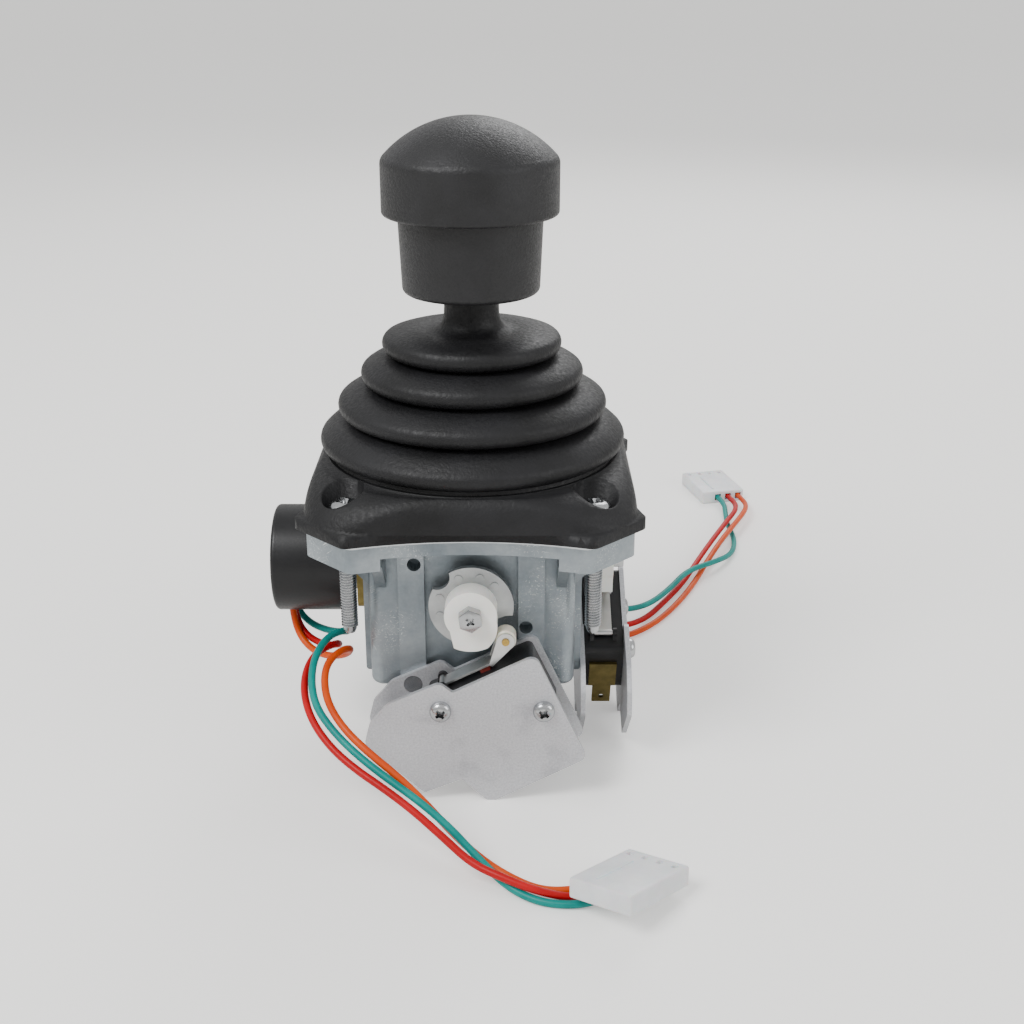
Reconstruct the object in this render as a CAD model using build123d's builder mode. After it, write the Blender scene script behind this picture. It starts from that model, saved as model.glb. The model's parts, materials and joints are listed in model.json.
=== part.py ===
"""Two-axis panel joystick: a mushroom knob, a bellows boot, a slotted-bail gimbal,
two cam-worked snap-action switches and two rotary potentiometers on loose leads.

Millimetres. The origin is the centre of the top of the steel plate, with +Z up the handle.
The operator and the front switch are on the -Y side.
"""
import math
import os

from build123d import *

os.makedirs("parts", exist_ok=True)

# Rim, plate and flange, all with the same four-eared outline
EAR_REACH = 41.2          # centre to the outer side of an ear
EAR_CORNER = 49.2         # centre to the flat across an ear's corner
SIDE_REACH = 36.6         # centre to the middle of a set-back side
EAR_FILLET = 2.6
RIM_THICK = 2.6
RIM_OVERHANG = 2.3        # rubber rim beyond the steel plate
PLATE_THICK = 1.2
PLATE_HOLE_R = 18.0
FLANGE_THICK = 3.0
EAR_THICK = 6.0
EAR_INNER = 20.5          # where the thick part of an ear starts
SCREW_SPACING = 58.0

# Long panel screws
SCREW_R = 2.0
SCREW_LENGTH = 30.4
SHANK_R = 1.8             # unthreaded shank, as thick as the thread's middle
THREAD_START_GAP = 0.2     # from the underside of an ear to the thread
SCREW_CLEAR = 0.2
SCREW_TIP = 0.5
HEAD_R = 4.0
HEAD_HEIGHT = 2.5
FOOT_SEAT = 4.0           # height of the rubber under a screw head
RECESS_R = 4.6

# Housing
BODY_HALF = 25.0
BODY_WALL = 4.0
BODY_DEPTH = 43.4         # bottom of the housing below the plate's top
BODY_FLOOR = 3.0
BODY_FILLET = 3.2
BODY_EDGE = 1.6           # rounding of the bottom's edges
CAVITY_FILLET = 4.0
PAD_IN = 11.2             # inner and outer edge of the vertical pads
PAD_OUT = 17.5
PAD_RISE = 1.8
TAP_R = 1.65
TAP_DEPTH = 4.5
TAP_HIGH = 10.0
TAP_LOW = 26.5
TAP_ASIDE = (0.8, 1.3)    # how far the upper and lower tapped holes lie inside the pads' middle
GUSSET_AT = 21.6
GUSSET_THICK = 2.4
GUSSET_DROP = 10.5
GUSSET_SHORT = 6.5        # how far a gusset stays inside the ear's outer side

# Gimbal
PIVOT_Z = -19.5
TILT = 20.0               # degrees each way
STUB_R = 3.0
SHOULDER_R = 4.0
RUNNING = 0.05            # radial clearance of a shaft in its bush
BUSH_R = 4.5
BUSH_FLANGE_R = 6.2
BUSH_FLANGE = 1.0
BLOCK_X, BLOCK_Y, BLOCK_Z = 12.0, 13.0, 9.0
YOKE_WALL = 2.5
YOKE_END_GAP = 2.1        # between the block and the yoke's end walls
YOKE_END_WALL = 3.4
SIDE_PLAY = 0.1
PIN_R = 2.0
BAIL_END_GAP = 5.0        # between the bail and the housing's wall
BAIL_THICK = 2.5
SLOT_CLEAR = 0.45
BAIL_RAIL = 3.2
BAIL_DROP = 4.0

# Handle
SHAFT_R = 4.75
SHAFT_TOP = 66.0
SHAFT_SPIGOT_R = 3.0
GRIP_BOTTOM = 49.6
GRIP_TOP = 68.0
GRIP_BOTTOM_R = 16.4
GRIP_TOP_R = 17.2
GRIP_FILLET = 1.4
INSERT_R = 7.0
INSERT_LONG = 13.0
SPIGOT_R = 15.0
SPIGOT_HEIGHT = 8.0
CAP_R = 20.9
CAP_SIDE = 12.6           # straight side of the cap below its shoulder
CAP_HEIGHT = 22.2
CAP_SHOULDER = 2.6
CAP_EDGE = 0.8
FIT = 0.1                 # gap round a piece that is pushed into another

# Bellows boot
BOOT_WALL = 1.3
NECK_R = 6.6
NECK_END_GAP = 0.3        # between the boot's neck and the grip
NECK_BOTTOM = 42.0
NECK_GAP = 0.3
FOLDS = [(21.7, 37.4), (27.0, 30.2), (32.8, 22.6), (37.4, 14.2)]   # radius, height
FOLD_LIP = 2.5            # half height of a fold's round lip
GROOVE_IN = 3.6           # how far the groove under a fold lies inside its lip
SKIRT_HALF = 39.2
SKIRT_TOP_R = 36.4
SKIRT_TOP = 10.4
SKIRT_CORNER = 15.0
SKIRT_MID_INSET = 0.5      # how far the skirt is drawn in half-way up
SKIRT_MID_CORNER = 20.0
SKIRT_ROUND = 0.8         # corner radius at the skirt's top, as a share of its half width
BOOT_CAVITY_R = 33.8

# Cam and its disc, as seen from outside the housing
DISC_R = 10.1
DISC_THICK = 1.5
DISC_HUB = 3.0            # length of the hub behind the disc
DISC_GAP = 0.4            # between the disc's hub and the housing's wall
PIP_CIRCLE_R = 7.75
PIP_R = 1.0
PIP_HEIGHT = 0.3
PIP_ANGLES = [44, 74, 112, 163, 197, 229]
CAM_HUB_R = 6.2
CAM_THICK = 5.5
CAM_END_WALL = 2.2        # of the cam, in front of its shaft
CAM_HIGH_R = 9.1
CAM_RAMP = (-12.0, -64.0)     # degrees, where the ramp leaves the hub and where it tops out
CAM_LOBE_END = -116.0
CAM_FLANK_END = -142.0
CAM_SCREW_R = 1.5
CAM_SCREW_DEPTH = 6.0
HEX_ACROSS = 5.2
DISC_NOTCH = 137          # degrees, the rounded notch in the disc
DISC_NOTCH_R = 3.1
DISC_RELIEF = -42         # degrees, the disc's cut-out behind the roller
DISC_RELIEF_R = 6.2
HEX_HEIGHT = 2.8

# Switch, its two plates and its lever
SHEET = 1.2
SWITCH_LONG = 27.8
SWITCH_HIGH = 15.9
SWITCH_THICK = 10.3
SWITCH_CORNER = 1.4
SWITCH_HOLES = (22.2, 10.3)   # spacing along and across the switch
SWITCH_HOLE_R = 1.55
SWITCH_TILT = 25.0
SWITCH_AT = (5.0, -42.1)
SWITCH_SCREW_R = 1.5
SWITCH_HEAD_R = 2.6
SWITCH_HEAD = 2.0
ROLLER_AT = (8.2, -25.9)
ROLLER_R = 2.5
ROLLER_WIDE = 4.0
ROLLER_PIN_R = 0.9
LEVER_THICK = 0.5
LEVER_WIDE = 4.4
LEVER_PIN_R = 0.5
EAR_WALL = 1.0            # thickness of an ear on the switch
EAR_ROOT, EAR_TIP = 2.2, 1.2   # half width of an ear at the switch and round the pin
EAR_GAP = 2.4             # middle of the switch to the inside of the lever's ears
LEVER_PIVOT = (-9.0, 9.0)     # along and above the middle of the switch
LEVER_KNEE = (4.3, 9.4)
LEVER_LOW_R = 0.55
LEVER_TOP_R = 2.1
PLUNGER_ALONG = 2.0
PLUNGER_SIZE = (2.4, 3.6)
PLUNGER_RISE = 1.0
PLUNGER_LONG = 4.4
PLUNGER_POCKET = 4.6
TAB_THICK = 0.8
TAB_WIDE = 4.8
TAB_BASE = 7.0
TAB_LONG = 8.0
TAB_INSET = 1.6           # of the end terminal, inside the screw hole
TAB_HOLE_R = 0.75
PLATE_SCREWS = [(-14.4, -41.3), (14.4, -36.0)]
PLATE_SCREW_R = 1.25
PLATE_SCREW_HEAD_R = 2.3

# Corners of the switch plates, as seen from outside, each with the radius it is rounded to
PLATE_CORNERS = [
    (-7.4, -34.9, 2.0), (-4.3, -37.4, 0.8), (15.2, -27.6, 2.2), (27.8, -55.1, 2.0),
    (4.3, -67.6, 2.6), (-2.4, -60.9, 1.4), (-11.5, -64.7, 0.8), (-25.6, -51.4, 2.4),
    (-24.2, -45.8, 3.0), (-19.6, -40.4, 4.0),
]

# Potentiometer, from the housing outwards
POT_R = 13.55
POT_WALL = 1.2
POT_STANDOFF = 6.2        # from the pads to the potentiometer's flange
POT_DEEP = 17.3
POT_LIP = 1.0
POT_LONG = 12.5
POT_NECK_R = 4.75
POT_NUT_ACROSS = 10.0
POT_NUT_THICK = 2.4
POT_PLATE_WIDE = 13.0
POT_PLATE_THICK = 1.5
POT_SCREW_R = 1.25
POT_SCREW_HEAD_R = 2.2
POT_SCREW_HEAD = 1.6
ROTOR_R = 9.0
ROTOR_THICK = 1.5
ROTOR_ROOM = 6.0          # depth of the space that the rotor turns in
ROTOR_BACK = 2.5          # of that space, behind the rotor
ROTOR_IN = 7.5            # from the flange to the rotor
TERMINAL_WIDE = 9.0
TERMINAL_THICK = 3.0
TERMINAL_HIGH = 3.4
TERMINAL_INSET = 4.2      # from the body's side to the middle of the terminal block

# Centring springs, whose legs straddle a tab on the shaft and an anchor on the wall
SPRING_WIRE_R = 0.45
SPRING_COIL_R = 4.95
SPRING_TURNS = 2.5
SPRING_PITCH = 1.0
SPRING_ROOM = 4.3         # from the coil's inner end to the housing's wall
SPRING_LEG = 10.2
TAB_HALF = 4.4
TAB = (6.2, 7.2)          # heights above the pivot
ANCHOR = (8.9, 9.9)
TAB_END_GAP = 1.7
ANCHOR_LONG = 4.8

# Leads, three to a potentiometer, each ending in a nylon plug on the table
WIRE_R = 0.9
WIRE_STEP = 2.4
PLUG_LONG, PLUG_WIDE, PLUG_HIGH = 22.0, 16.2, 4.6
PLUG_FILLET = 0.5
BEND_SHARE = 0.45
TABLE_Z = -66.8

# Plugs: middle of the entry face, heading, and lean about the X axis, in degrees
PLUGS = {"left": (27.97, -88.11, 49.8, 14.0), "rear": (88.4, 159.5, 104.0, 0.0)}

PAD_FACE = BODY_HALF + PAD_RISE
SWITCH_BACK = PAD_FACE + SHEET
SWITCH_FACE = SWITCH_BACK + SWITCH_THICK
SWITCH_MID = SWITCH_BACK + SWITCH_THICK / 2
SWITCH_TURNS = {"front": 0, "right": 90}
POT_TURNS = {"left": 270, "rear": 180}
PAD_MIDDLE = (PAD_IN + PAD_OUT) / 2
EAR_UNDER = -(PLATE_THICK + EAR_THICK)
THREAD_START = EAR_UNDER - THREAD_START_GAP
CAVITY_HALF = BODY_HALF - BODY_WALL
STUB_START = CAVITY_HALF - BUSH_FLANGE - 0.2
BORE_R = STUB_R + RUNNING
YOKE_IN_Y = BLOCK_Y / 2 + YOKE_END_GAP
YOKE_OUT_Y = YOKE_IN_Y + YOKE_END_WALL
YOKE_IN_X = BLOCK_X / 2 + SIDE_PLAY
YOKE_OUT_X = YOKE_IN_X + YOKE_WALL
BAIL_OUT_R = CAVITY_HALF - BAIL_END_GAP
BAIL_IN_R = BAIL_OUT_R - BAIL_THICK
SPRING_START = CAVITY_HALF - SPRING_ROOM
TAB_END = CAVITY_HALF - TAB_END_GAP
POT_START = PAD_FACE + POT_STANDOFF
POT_END = POT_START + POT_DEEP
ROTOR_AT = POT_START + ROTOR_IN
LEAD_OUT = POT_START + POT_LONG + 0.1 + TERMINAL_THICK / 2
BAIL_HALF = SHAFT_R + SLOT_CLEAR + BAIL_RAIL
DISC_BACK = BODY_HALF + DISC_GAP + DISC_HUB
DISC_FACE = DISC_BACK + DISC_THICK
CAM_FACE = DISC_FACE + CAM_THICK
CAM_SHAFT_END = CAM_FACE - CAM_END_WALL


def save(part, name):
    """Label a finished piece and write it under its own name."""
    part.label = name
    export_step(part, f"parts/{name}.step")


def wall_plane(out, turn=0, x=0.0, z=0.0, tilt=0.0):
    """Plane that faces out of a wall of the housing: turn 0 is the front, 90 the right,
    180 the rear and 270 the left. x runs to the right as seen from outside, and z is up."""
    a, b = math.radians(turn), math.radians(tilt)
    right, outward = Vector(math.cos(a), math.sin(a), 0), Vector(math.sin(a), -math.cos(a), 0)
    up = Vector(0, 0, 1)
    return Plane(
        origin=outward * out + right * x + up * z,
        x_dir=right * math.cos(b) + up * math.sin(b),
        z_dir=outward,
    )


def web_plane(turn, x):
    """Plane square to a wall and upright, with its own x outwards and its y up."""
    wall = wall_plane(0, turn, x)
    return Plane(origin=wall.origin, x_dir=wall.z_dir, z_dir=-wall.x_dir)


def switch_point(along, up):
    """Place on the front face, in x and z, of a point of the tilted switch."""
    c, s = math.cos(math.radians(SWITCH_TILT)), math.sin(math.radians(SWITCH_TILT))
    return (SWITCH_AT[0] + along * c - up * s, SWITCH_AT[1] + along * s + up * c)


def polar(radius, angle):
    """Point at a radius and an angle in degrees."""
    return (radius * math.cos(math.radians(angle)), radius * math.sin(math.radians(angle)))


def eared_square(inset):
    """Outline of rim, plate and flange: flats across the corners, sides set back in arcs."""
    reach, side = EAR_REACH - inset, SIDE_REACH - inset
    cut = (EAR_CORNER - inset) * math.sqrt(2) - reach
    with BuildSketch() as outline:
        with BuildLine():
            for turn in range(4):
                c, s = [(1, 0), (0, 1), (-1, 0), (0, -1)][turn]
                start, middle, end, next_start = [
                    (x * c - y * s, x * s + y * c)
                    for x, y in [(-cut, -reach), (0, -side), (cut, -reach), (reach, -cut)]
                ]
                ThreePointArc(start, middle, end)
                Line(end, next_start)
        make_face()
        fillet(outline.vertices(), EAR_FILLET)
    return outline.sketch


def plate_outline():
    """Outline of a switch plate in the housing's own x and z."""
    with BuildSketch() as outline:
        with BuildLine():
            Polyline(*[(x, z) for x, z, _ in PLATE_CORNERS], close=True)
        make_face()
        for x, z, radius in PLATE_CORNERS:
            corner = outline.vertices().sort_by_distance((x, z, 0))[0]
            fillet(corner, radius)
    return outline.sketch


RIM_OUTLINE = eared_square(0)
FLANGE_OUTLINE = eared_square(RIM_OVERHANG)
PLATE_OUTLINE = plate_outline()

# Knob cap: a mushroom top that is pushed over the grip's spigot
with BuildPart() as knob_cap:
    with BuildSketch(Plane.XZ) as cap_half:
        with BuildLine():
            shoulder = (CAP_R, GRIP_TOP + CAP_SIDE)
            crown = (0, GRIP_TOP + CAP_HEIGHT)
            socket_r, socket_top = SPIGOT_R + FIT, GRIP_TOP + SPIGOT_HEIGHT + FIT
            Polyline(crown, (0, socket_top), (socket_r, socket_top), (socket_r, GRIP_TOP),
                     (CAP_R, GRIP_TOP), shoulder)
            rise = CAP_HEIGHT - CAP_SIDE
            crown_r = (rise**2 + CAP_R**2) / (2 * rise)
            half_way = math.asin(CAP_R / crown_r) / 2
            ThreePointArc(shoulder, (crown_r * math.sin(half_way),
                                     crown[1] - crown_r * (1 - math.cos(half_way))), crown)
        make_face()
        fillet(cap_half.vertices().sort_by_distance((CAP_R, GRIP_TOP + CAP_SIDE))[0], CAP_SHOULDER)
        fillet(cap_half.vertices().sort_by_distance((CAP_R, GRIP_TOP))[0], CAP_EDGE)
    revolve(axis=Axis.Z)
save(knob_cap.part, "knob_cap")

# Grip: a tapered skirt under the cap with a moulded-in brass insert
with BuildPart() as knob_grip:
    with BuildSketch(Plane.XZ):
        with BuildLine():
            Polyline(
                (SHAFT_R + FIT, GRIP_BOTTOM), (GRIP_BOTTOM_R, GRIP_BOTTOM), (GRIP_TOP_R, GRIP_TOP),
                (SPIGOT_R, GRIP_TOP), (SPIGOT_R, GRIP_TOP + SPIGOT_HEIGHT),
                (SHAFT_R + FIT, GRIP_TOP + SPIGOT_HEIGHT), close=True)
        make_face()
    revolve(axis=Axis.Z)
    fillet(knob_grip.edges().filter_by(GeomType.CIRCLE).group_by(Axis.Z)[0].sort_by(SortBy.RADIUS)[-1],
           GRIP_FILLET)
    with BuildSketch(Plane.XY.offset(SHAFT_TOP - INSERT_LONG)):
        Circle(INSERT_R + FIT / 4)
    extrude(amount=GRIP_TOP + SPIGOT_HEIGHT - SHAFT_TOP + INSERT_LONG, mode=Mode.SUBTRACT)
save(knob_grip.part, "knob_grip")

with BuildPart() as grip_insert:
    with BuildSketch(Plane.XY.offset(SHAFT_TOP - INSERT_LONG)):
        Circle(INSERT_R)
        Circle(SHAFT_R + RUNNING, mode=Mode.SUBTRACT)
    extrude(amount=INSERT_LONG)
save(grip_insert.part, "grip_insert")

# Handle shaft, with a thinner end that is pressed into the pivot block
block_top = PIVOT_Z + BLOCK_Z / 2
with BuildPart() as handle_shaft:
    with BuildSketch(Plane.XY.offset(block_top)):
        Circle(SHAFT_R)
    extrude(amount=SHAFT_TOP - block_top)
    chamfer(handle_shaft.edges().group_by(Axis.Z)[-1], 0.6)
    with BuildSketch(Plane.XY.offset(PIVOT_Z + PIN_R)):
        Circle(SHAFT_SPIGOT_R)
    extrude(amount=block_top - PIVOT_Z - PIN_R)
save(handle_shaft.part, "handle_shaft")

# Pivot block and the cross pin that hinges it in the yoke
with BuildPart() as pivot_block:
    with BuildSketch(Plane.XY.offset(PIVOT_Z - BLOCK_Z / 2)):
        Rectangle(BLOCK_X, BLOCK_Y)
    extrude(amount=BLOCK_Z)
    chamfer(pivot_block.edges().filter_by(Axis.X), 1.2)
    with BuildSketch(Plane.YZ.offset(-BLOCK_X / 2)):
        with Locations((0, PIVOT_Z)):
            Circle(PIN_R + RUNNING)
    extrude(amount=BLOCK_X, mode=Mode.SUBTRACT)
    with BuildSketch(Plane.XY.offset(PIVOT_Z)):
        Circle(SHAFT_SPIGOT_R + RUNNING)
    extrude(amount=BLOCK_Z, mode=Mode.SUBTRACT)
save(pivot_block.part, "pivot_block")

with BuildPart() as cross_pin:
    with BuildSketch(Plane.YZ.offset(-YOKE_OUT_X)):
        with Locations((0, PIVOT_Z)):
            Circle(PIN_R)
    extrude(amount=2 * YOKE_OUT_X)
    chamfer(cross_pin.edges().filter_by(GeomType.CIRCLE), 0.4)
save(cross_pin.part, "cross_pin")

# Yoke: a frame round the block on a shaft along Y, from the front cam to the rear potentiometer
with BuildPart() as yoke:
    with BuildSketch(Plane.XY.offset(PIVOT_Z - BLOCK_Z / 2)):
        RectangleRounded(2 * YOKE_OUT_X, 2 * YOKE_OUT_Y, 2.0)
        Rectangle(2 * YOKE_IN_X, 2 * YOKE_IN_Y, mode=Mode.SUBTRACT)
    extrude(amount=BLOCK_Z)
    with BuildSketch(Plane.YZ.offset(-YOKE_OUT_X)):
        with Locations((0, PIVOT_Z)):
            Circle(PIN_R + RUNNING)
    extrude(amount=2 * YOKE_OUT_X, mode=Mode.SUBTRACT)
    with BuildSketch(wall_plane(YOKE_IN_Y, 180, z=PIVOT_Z)):
        with Locations((0, TAB[1] / 2)):
            Rectangle(2 * TAB_HALF, TAB[1])
    extrude(amount=YOKE_END_WALL)
    with BuildSketch(wall_plane(YOKE_IN_Y, 180, z=PIVOT_Z)):
        with Locations((0, (TAB[0] + TAB[1]) / 2)):
            Rectangle(2 * TAB_HALF, TAB[1] - TAB[0])
    extrude(amount=TAB_END - YOKE_IN_Y)
    for turn, end in [(0, CAM_SHAFT_END), (180, ROTOR_AT + ROTOR_THICK)]:
        for radius, start, stop in [(SHOULDER_R, YOKE_OUT_Y - 0.4, STUB_START), (STUB_R, STUB_START, end)]:
            with BuildSketch(wall_plane(start, turn, z=PIVOT_Z)):
                Circle(radius)
            extrude(amount=stop - start)
    with BuildSketch(wall_plane(CAM_SHAFT_END, 0, z=PIVOT_Z)):
        Circle(CAM_SCREW_R + FIT / 4)
    extrude(amount=-CAM_SCREW_DEPTH, mode=Mode.SUBTRACT)
save(yoke.part, "yoke")

# Bail: a slotted arch on a shaft along X, from the right cam to the left potentiometer
with BuildPart() as bail:
    with BuildSketch(Plane.XZ.offset(-BAIL_HALF)):
        with Locations((0, PIVOT_Z)):
            Circle(BAIL_OUT_R)
            with Locations((0, -BAIL_OUT_R / 2)):
                Rectangle(2 * BAIL_OUT_R, BAIL_OUT_R, mode=Mode.SUBTRACT)
            with Locations((0, -BAIL_DROP / 2)):
                Rectangle(2 * BAIL_OUT_R, BAIL_DROP)
            Circle(BAIL_IN_R, mode=Mode.SUBTRACT)
            with Locations((0, -BAIL_DROP / 2)):
                Rectangle(2 * BAIL_IN_R, BAIL_DROP, mode=Mode.SUBTRACT)
    extrude(amount=2 * BAIL_HALF)
    slot_half = (BAIL_OUT_R + 1) * math.sin(math.radians(TILT)) + SHAFT_R / math.cos(math.radians(TILT))
    with BuildSketch(Plane.XY.offset(PIVOT_Z)):
        SlotOverall(2 * slot_half + 2.4, 2 * (SHAFT_R + SLOT_CLEAR))
    extrude(amount=BAIL_OUT_R + 1, mode=Mode.SUBTRACT)
    tab_root = math.sqrt(BAIL_IN_R**2 - TAB[1]**2) + 1.0
    with BuildSketch(wall_plane(tab_root, 270, z=PIVOT_Z)):
        with Locations((0, (TAB[0] + TAB[1]) / 2)):
            Rectangle(2 * TAB_HALF, TAB[1] - TAB[0])
    extrude(amount=TAB_END - tab_root)
    for turn, end in [(90, CAM_SHAFT_END), (270, ROTOR_AT + ROTOR_THICK)]:
        for radius, start, stop in [(SHOULDER_R, BAIL_OUT_R - 0.4, STUB_START), (STUB_R, STUB_START, end)]:
            with BuildSketch(wall_plane(start, turn, z=PIVOT_Z)):
                Circle(radius)
            extrude(amount=stop - start)
    with BuildSketch(wall_plane(CAM_SHAFT_END, 90, z=PIVOT_Z)):
        Circle(CAM_SCREW_R + FIT / 4)
    extrude(amount=-CAM_SCREW_DEPTH, mode=Mode.SUBTRACT)
save(bail.part, "bail")

# Flanged bushes in the four walls
with BuildPart() as shaft_bushes:
    for turn in (0, 90, 180, 270):
        for radius, start, stop in [(BUSH_FLANGE_R, CAVITY_HALF - BUSH_FLANGE, CAVITY_HALF),
                                    (BUSH_R, CAVITY_HALF, BODY_HALF)]:
            with BuildSketch(wall_plane(start, turn, z=PIVOT_Z)):
                Circle(radius)
                Circle(BORE_R, mode=Mode.SUBTRACT)
            extrude(amount=stop - start)
save(shaft_bushes.part, "shaft_bushes")

# Housing: a die-cast box with a four-eared flange, vertical pads and gussets
with BuildPart() as housing:
    with BuildSketch(Plane.XY.offset(-PLATE_THICK)):
        add(FLANGE_OUTLINE)
    extrude(amount=-FLANGE_THICK)
    with BuildSketch(Plane.XY.offset(-PLATE_THICK - FLANGE_THICK)) as ears:
        add(FLANGE_OUTLINE)
        Rectangle(4 * EAR_REACH, 2 * EAR_INNER, mode=Mode.SUBTRACT)
        Rectangle(2 * EAR_INNER, 4 * EAR_REACH, mode=Mode.SUBTRACT)
    extrude(amount=-(EAR_THICK - FLANGE_THICK))
    with BuildSketch(Plane.XY.offset(-PLATE_THICK)):
        RectangleRounded(2 * BODY_HALF, 2 * BODY_HALF, BODY_FILLET)
    extrude(amount=-(BODY_DEPTH - PLATE_THICK))
    with BuildSketch(Plane.XY.offset(-PLATE_THICK)):
        with PolarLocations(0, 4):
            with Locations((BODY_HALF, PAD_MIDDLE), (BODY_HALF, -PAD_MIDDLE)):
                Rectangle(2 * PAD_RISE, PAD_OUT - PAD_IN)
    extrude(amount=-(BODY_DEPTH - PLATE_THICK))
    fillet(housing.edges().group_by(Axis.Z)[0], BODY_EDGE)
    for turn in (0, 90, 180, 270):
        for x in (-GUSSET_AT - GUSSET_THICK / 2, GUSSET_AT - GUSSET_THICK / 2):
            with BuildSketch(web_plane(turn, x)):
                with BuildLine():
                    Polyline((BODY_HALF - 1, EAR_UNDER), (EAR_REACH - GUSSET_SHORT, EAR_UNDER),
                             (BODY_HALF - 1, EAR_UNDER - GUSSET_DROP), close=True)
                make_face()
            extrude(amount=-GUSSET_THICK)
    with BuildSketch(Plane.XY.offset(-PLATE_THICK)):
        RectangleRounded(2 * CAVITY_HALF, 2 * CAVITY_HALF, CAVITY_FILLET)
    extrude(amount=-(BODY_DEPTH - PLATE_THICK - BODY_FLOOR), mode=Mode.SUBTRACT)
    with BuildSketch(Plane.XY.offset(-PLATE_THICK)):
        with GridLocations(SCREW_SPACING, SCREW_SPACING, 2, 2):
            Circle(SCREW_R + SCREW_CLEAR)
    extrude(amount=-EAR_THICK, mode=Mode.SUBTRACT)
    for turn in (180, 270):
        with BuildSketch(wall_plane(CAVITY_HALF, turn, z=PIVOT_Z)):
            with Locations((0, (ANCHOR[0] + ANCHOR[1]) / 2)):
                Rectangle(2 * TAB_HALF, ANCHOR[1] - ANCHOR[0])
        extrude(amount=-ANCHOR_LONG)
    for turn in (0, 90, 180, 270):
        with BuildSketch(wall_plane(BODY_HALF, turn, z=PIVOT_Z)):
            Circle(BUSH_R + FIT / 4)
        extrude(amount=-BODY_WALL, mode=Mode.SUBTRACT)
        with BuildSketch(wall_plane(PAD_FACE, turn)):
            with Locations((-PAD_MIDDLE + TAP_ASIDE[0], -TAP_HIGH),
                           (PAD_MIDDLE - TAP_ASIDE[1], -TAP_LOW)):
                Circle(TAP_R)
        extrude(amount=-TAP_DEPTH, mode=Mode.SUBTRACT)
    for turn in SWITCH_TURNS.values():
        with BuildSketch(wall_plane(PAD_FACE, turn)):
            with Locations(*PLATE_SCREWS):
                Circle(PLATE_SCREW_R + FIT / 4)
        extrude(amount=-TAP_DEPTH, mode=Mode.SUBTRACT)
    for turn in POT_TURNS.values():
        with BuildSketch(wall_plane(PAD_FACE, turn, z=PIVOT_Z)):
            with Locations((-PAD_MIDDLE, 0), (PAD_MIDDLE, 0)):
                Circle(POT_SCREW_R + FIT / 4)
        extrude(amount=-TAP_DEPTH, mode=Mode.SUBTRACT)
save(housing.part, "housing")

# Steel plate between the rubber rim and the casting
with BuildPart() as mounting_plate:
    with BuildSketch(Plane.XY.offset(-PLATE_THICK)):
        add(FLANGE_OUTLINE)
        Circle(PLATE_HOLE_R, mode=Mode.SUBTRACT)
        with GridLocations(SCREW_SPACING, SCREW_SPACING, 2, 2):
            Circle(SCREW_R + SCREW_CLEAR, mode=Mode.SUBTRACT)
    extrude(amount=PLATE_THICK)
save(mounting_plate.part, "mounting_plate")

# Long pan-head screws that hold boot, plate and housing and go on through a panel
with BuildPart() as mounting_screws:
    with BuildSketch(Plane.XY.offset(FOOT_SEAT)):
        with GridLocations(SCREW_SPACING, SCREW_SPACING, 2, 2):
            Circle(HEAD_R)
    extrude(amount=HEAD_HEIGHT)
    fillet(mounting_screws.edges().group_by(Axis.Z)[-1], HEAD_HEIGHT * 0.6)
    for radius, start, stop in [(SHANK_R, FOOT_SEAT, THREAD_START),
                                (SCREW_R, THREAD_START, FOOT_SEAT - SCREW_LENGTH)]:
        with BuildSketch(Plane.XY.offset(start)):
            with GridLocations(SCREW_SPACING, SCREW_SPACING, 2, 2):
                Circle(radius)
        extrude(amount=stop - start)
    chamfer(mounting_screws.edges().group_by(Axis.Z)[0], SCREW_TIP)
save(mounting_screws.part, "mounting_screws")

# Boot: a squarish foot with four screw recesses, and a bellows that hugs the shaft
with BuildPart() as boot:
    with BuildSketch():
        add(RIM_OUTLINE)
    extrude(amount=RIM_THICK)
    foot_middle = (RIM_THICK + SKIRT_TOP) / 2
    for level, half, corner in [(RIM_THICK, SKIRT_HALF, SKIRT_CORNER),
                                (foot_middle, SKIRT_HALF - SKIRT_MID_INSET, SKIRT_MID_CORNER),
                                (SKIRT_TOP, SKIRT_TOP_R, SKIRT_TOP_R * SKIRT_ROUND)]:
        with BuildSketch(Plane.XY.offset(level)):
            RectangleRounded(2 * half, 2 * half, corner)
    loft()
    with BuildSketch():
        Circle(BOOT_CAVITY_R)
    extrude(amount=SKIRT_TOP + 1, mode=Mode.SUBTRACT)
    with BuildSketch(Plane.XZ) as bellows:
        with BuildLine() as skin:
            here = (SKIRT_TOP_R - 0.6, SKIRT_TOP - 1.5)
            for radius, height in reversed(FOLDS):
                groove = (radius - GROOVE_IN, height - FOLD_LIP - 0.6)
                lip_start = (radius - 1.5, height - FOLD_LIP * 0.8)
                lip_end = (radius - 1.5, height + FOLD_LIP * 0.8)
                if radius != FOLDS[-1][0]:
                    Line(here, groove)
                    here = groove
                Line(here, lip_start)
                ThreePointArc(lip_start, (radius, height), lip_end)
                here = lip_end
            neck_foot = (NECK_R + 1.8, NECK_BOTTOM - 1.9)
            neck_start = (NECK_R, NECK_BOTTOM)
            Line(here, neck_foot)
            Line(neck_foot, neck_start)
            Line(neck_start, (NECK_R, GRIP_BOTTOM - NECK_END_GAP))
            offset(skin.line, amount=BOOT_WALL, side=Side.LEFT)
        make_face()
    revolve(axis=Axis.Z)
    with BuildSketch(Plane.XY.offset(FOOT_SEAT)):
        with GridLocations(SCREW_SPACING, SCREW_SPACING, 2, 2):
            Circle(RECESS_R)
    extrude(amount=SKIRT_TOP * 2, mode=Mode.SUBTRACT)
    with BuildSketch():
        with GridLocations(SCREW_SPACING, SCREW_SPACING, 2, 2):
            Circle(SCREW_R + SCREW_CLEAR)
    extrude(amount=FOOT_SEAT, mode=Mode.SUBTRACT)
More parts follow.
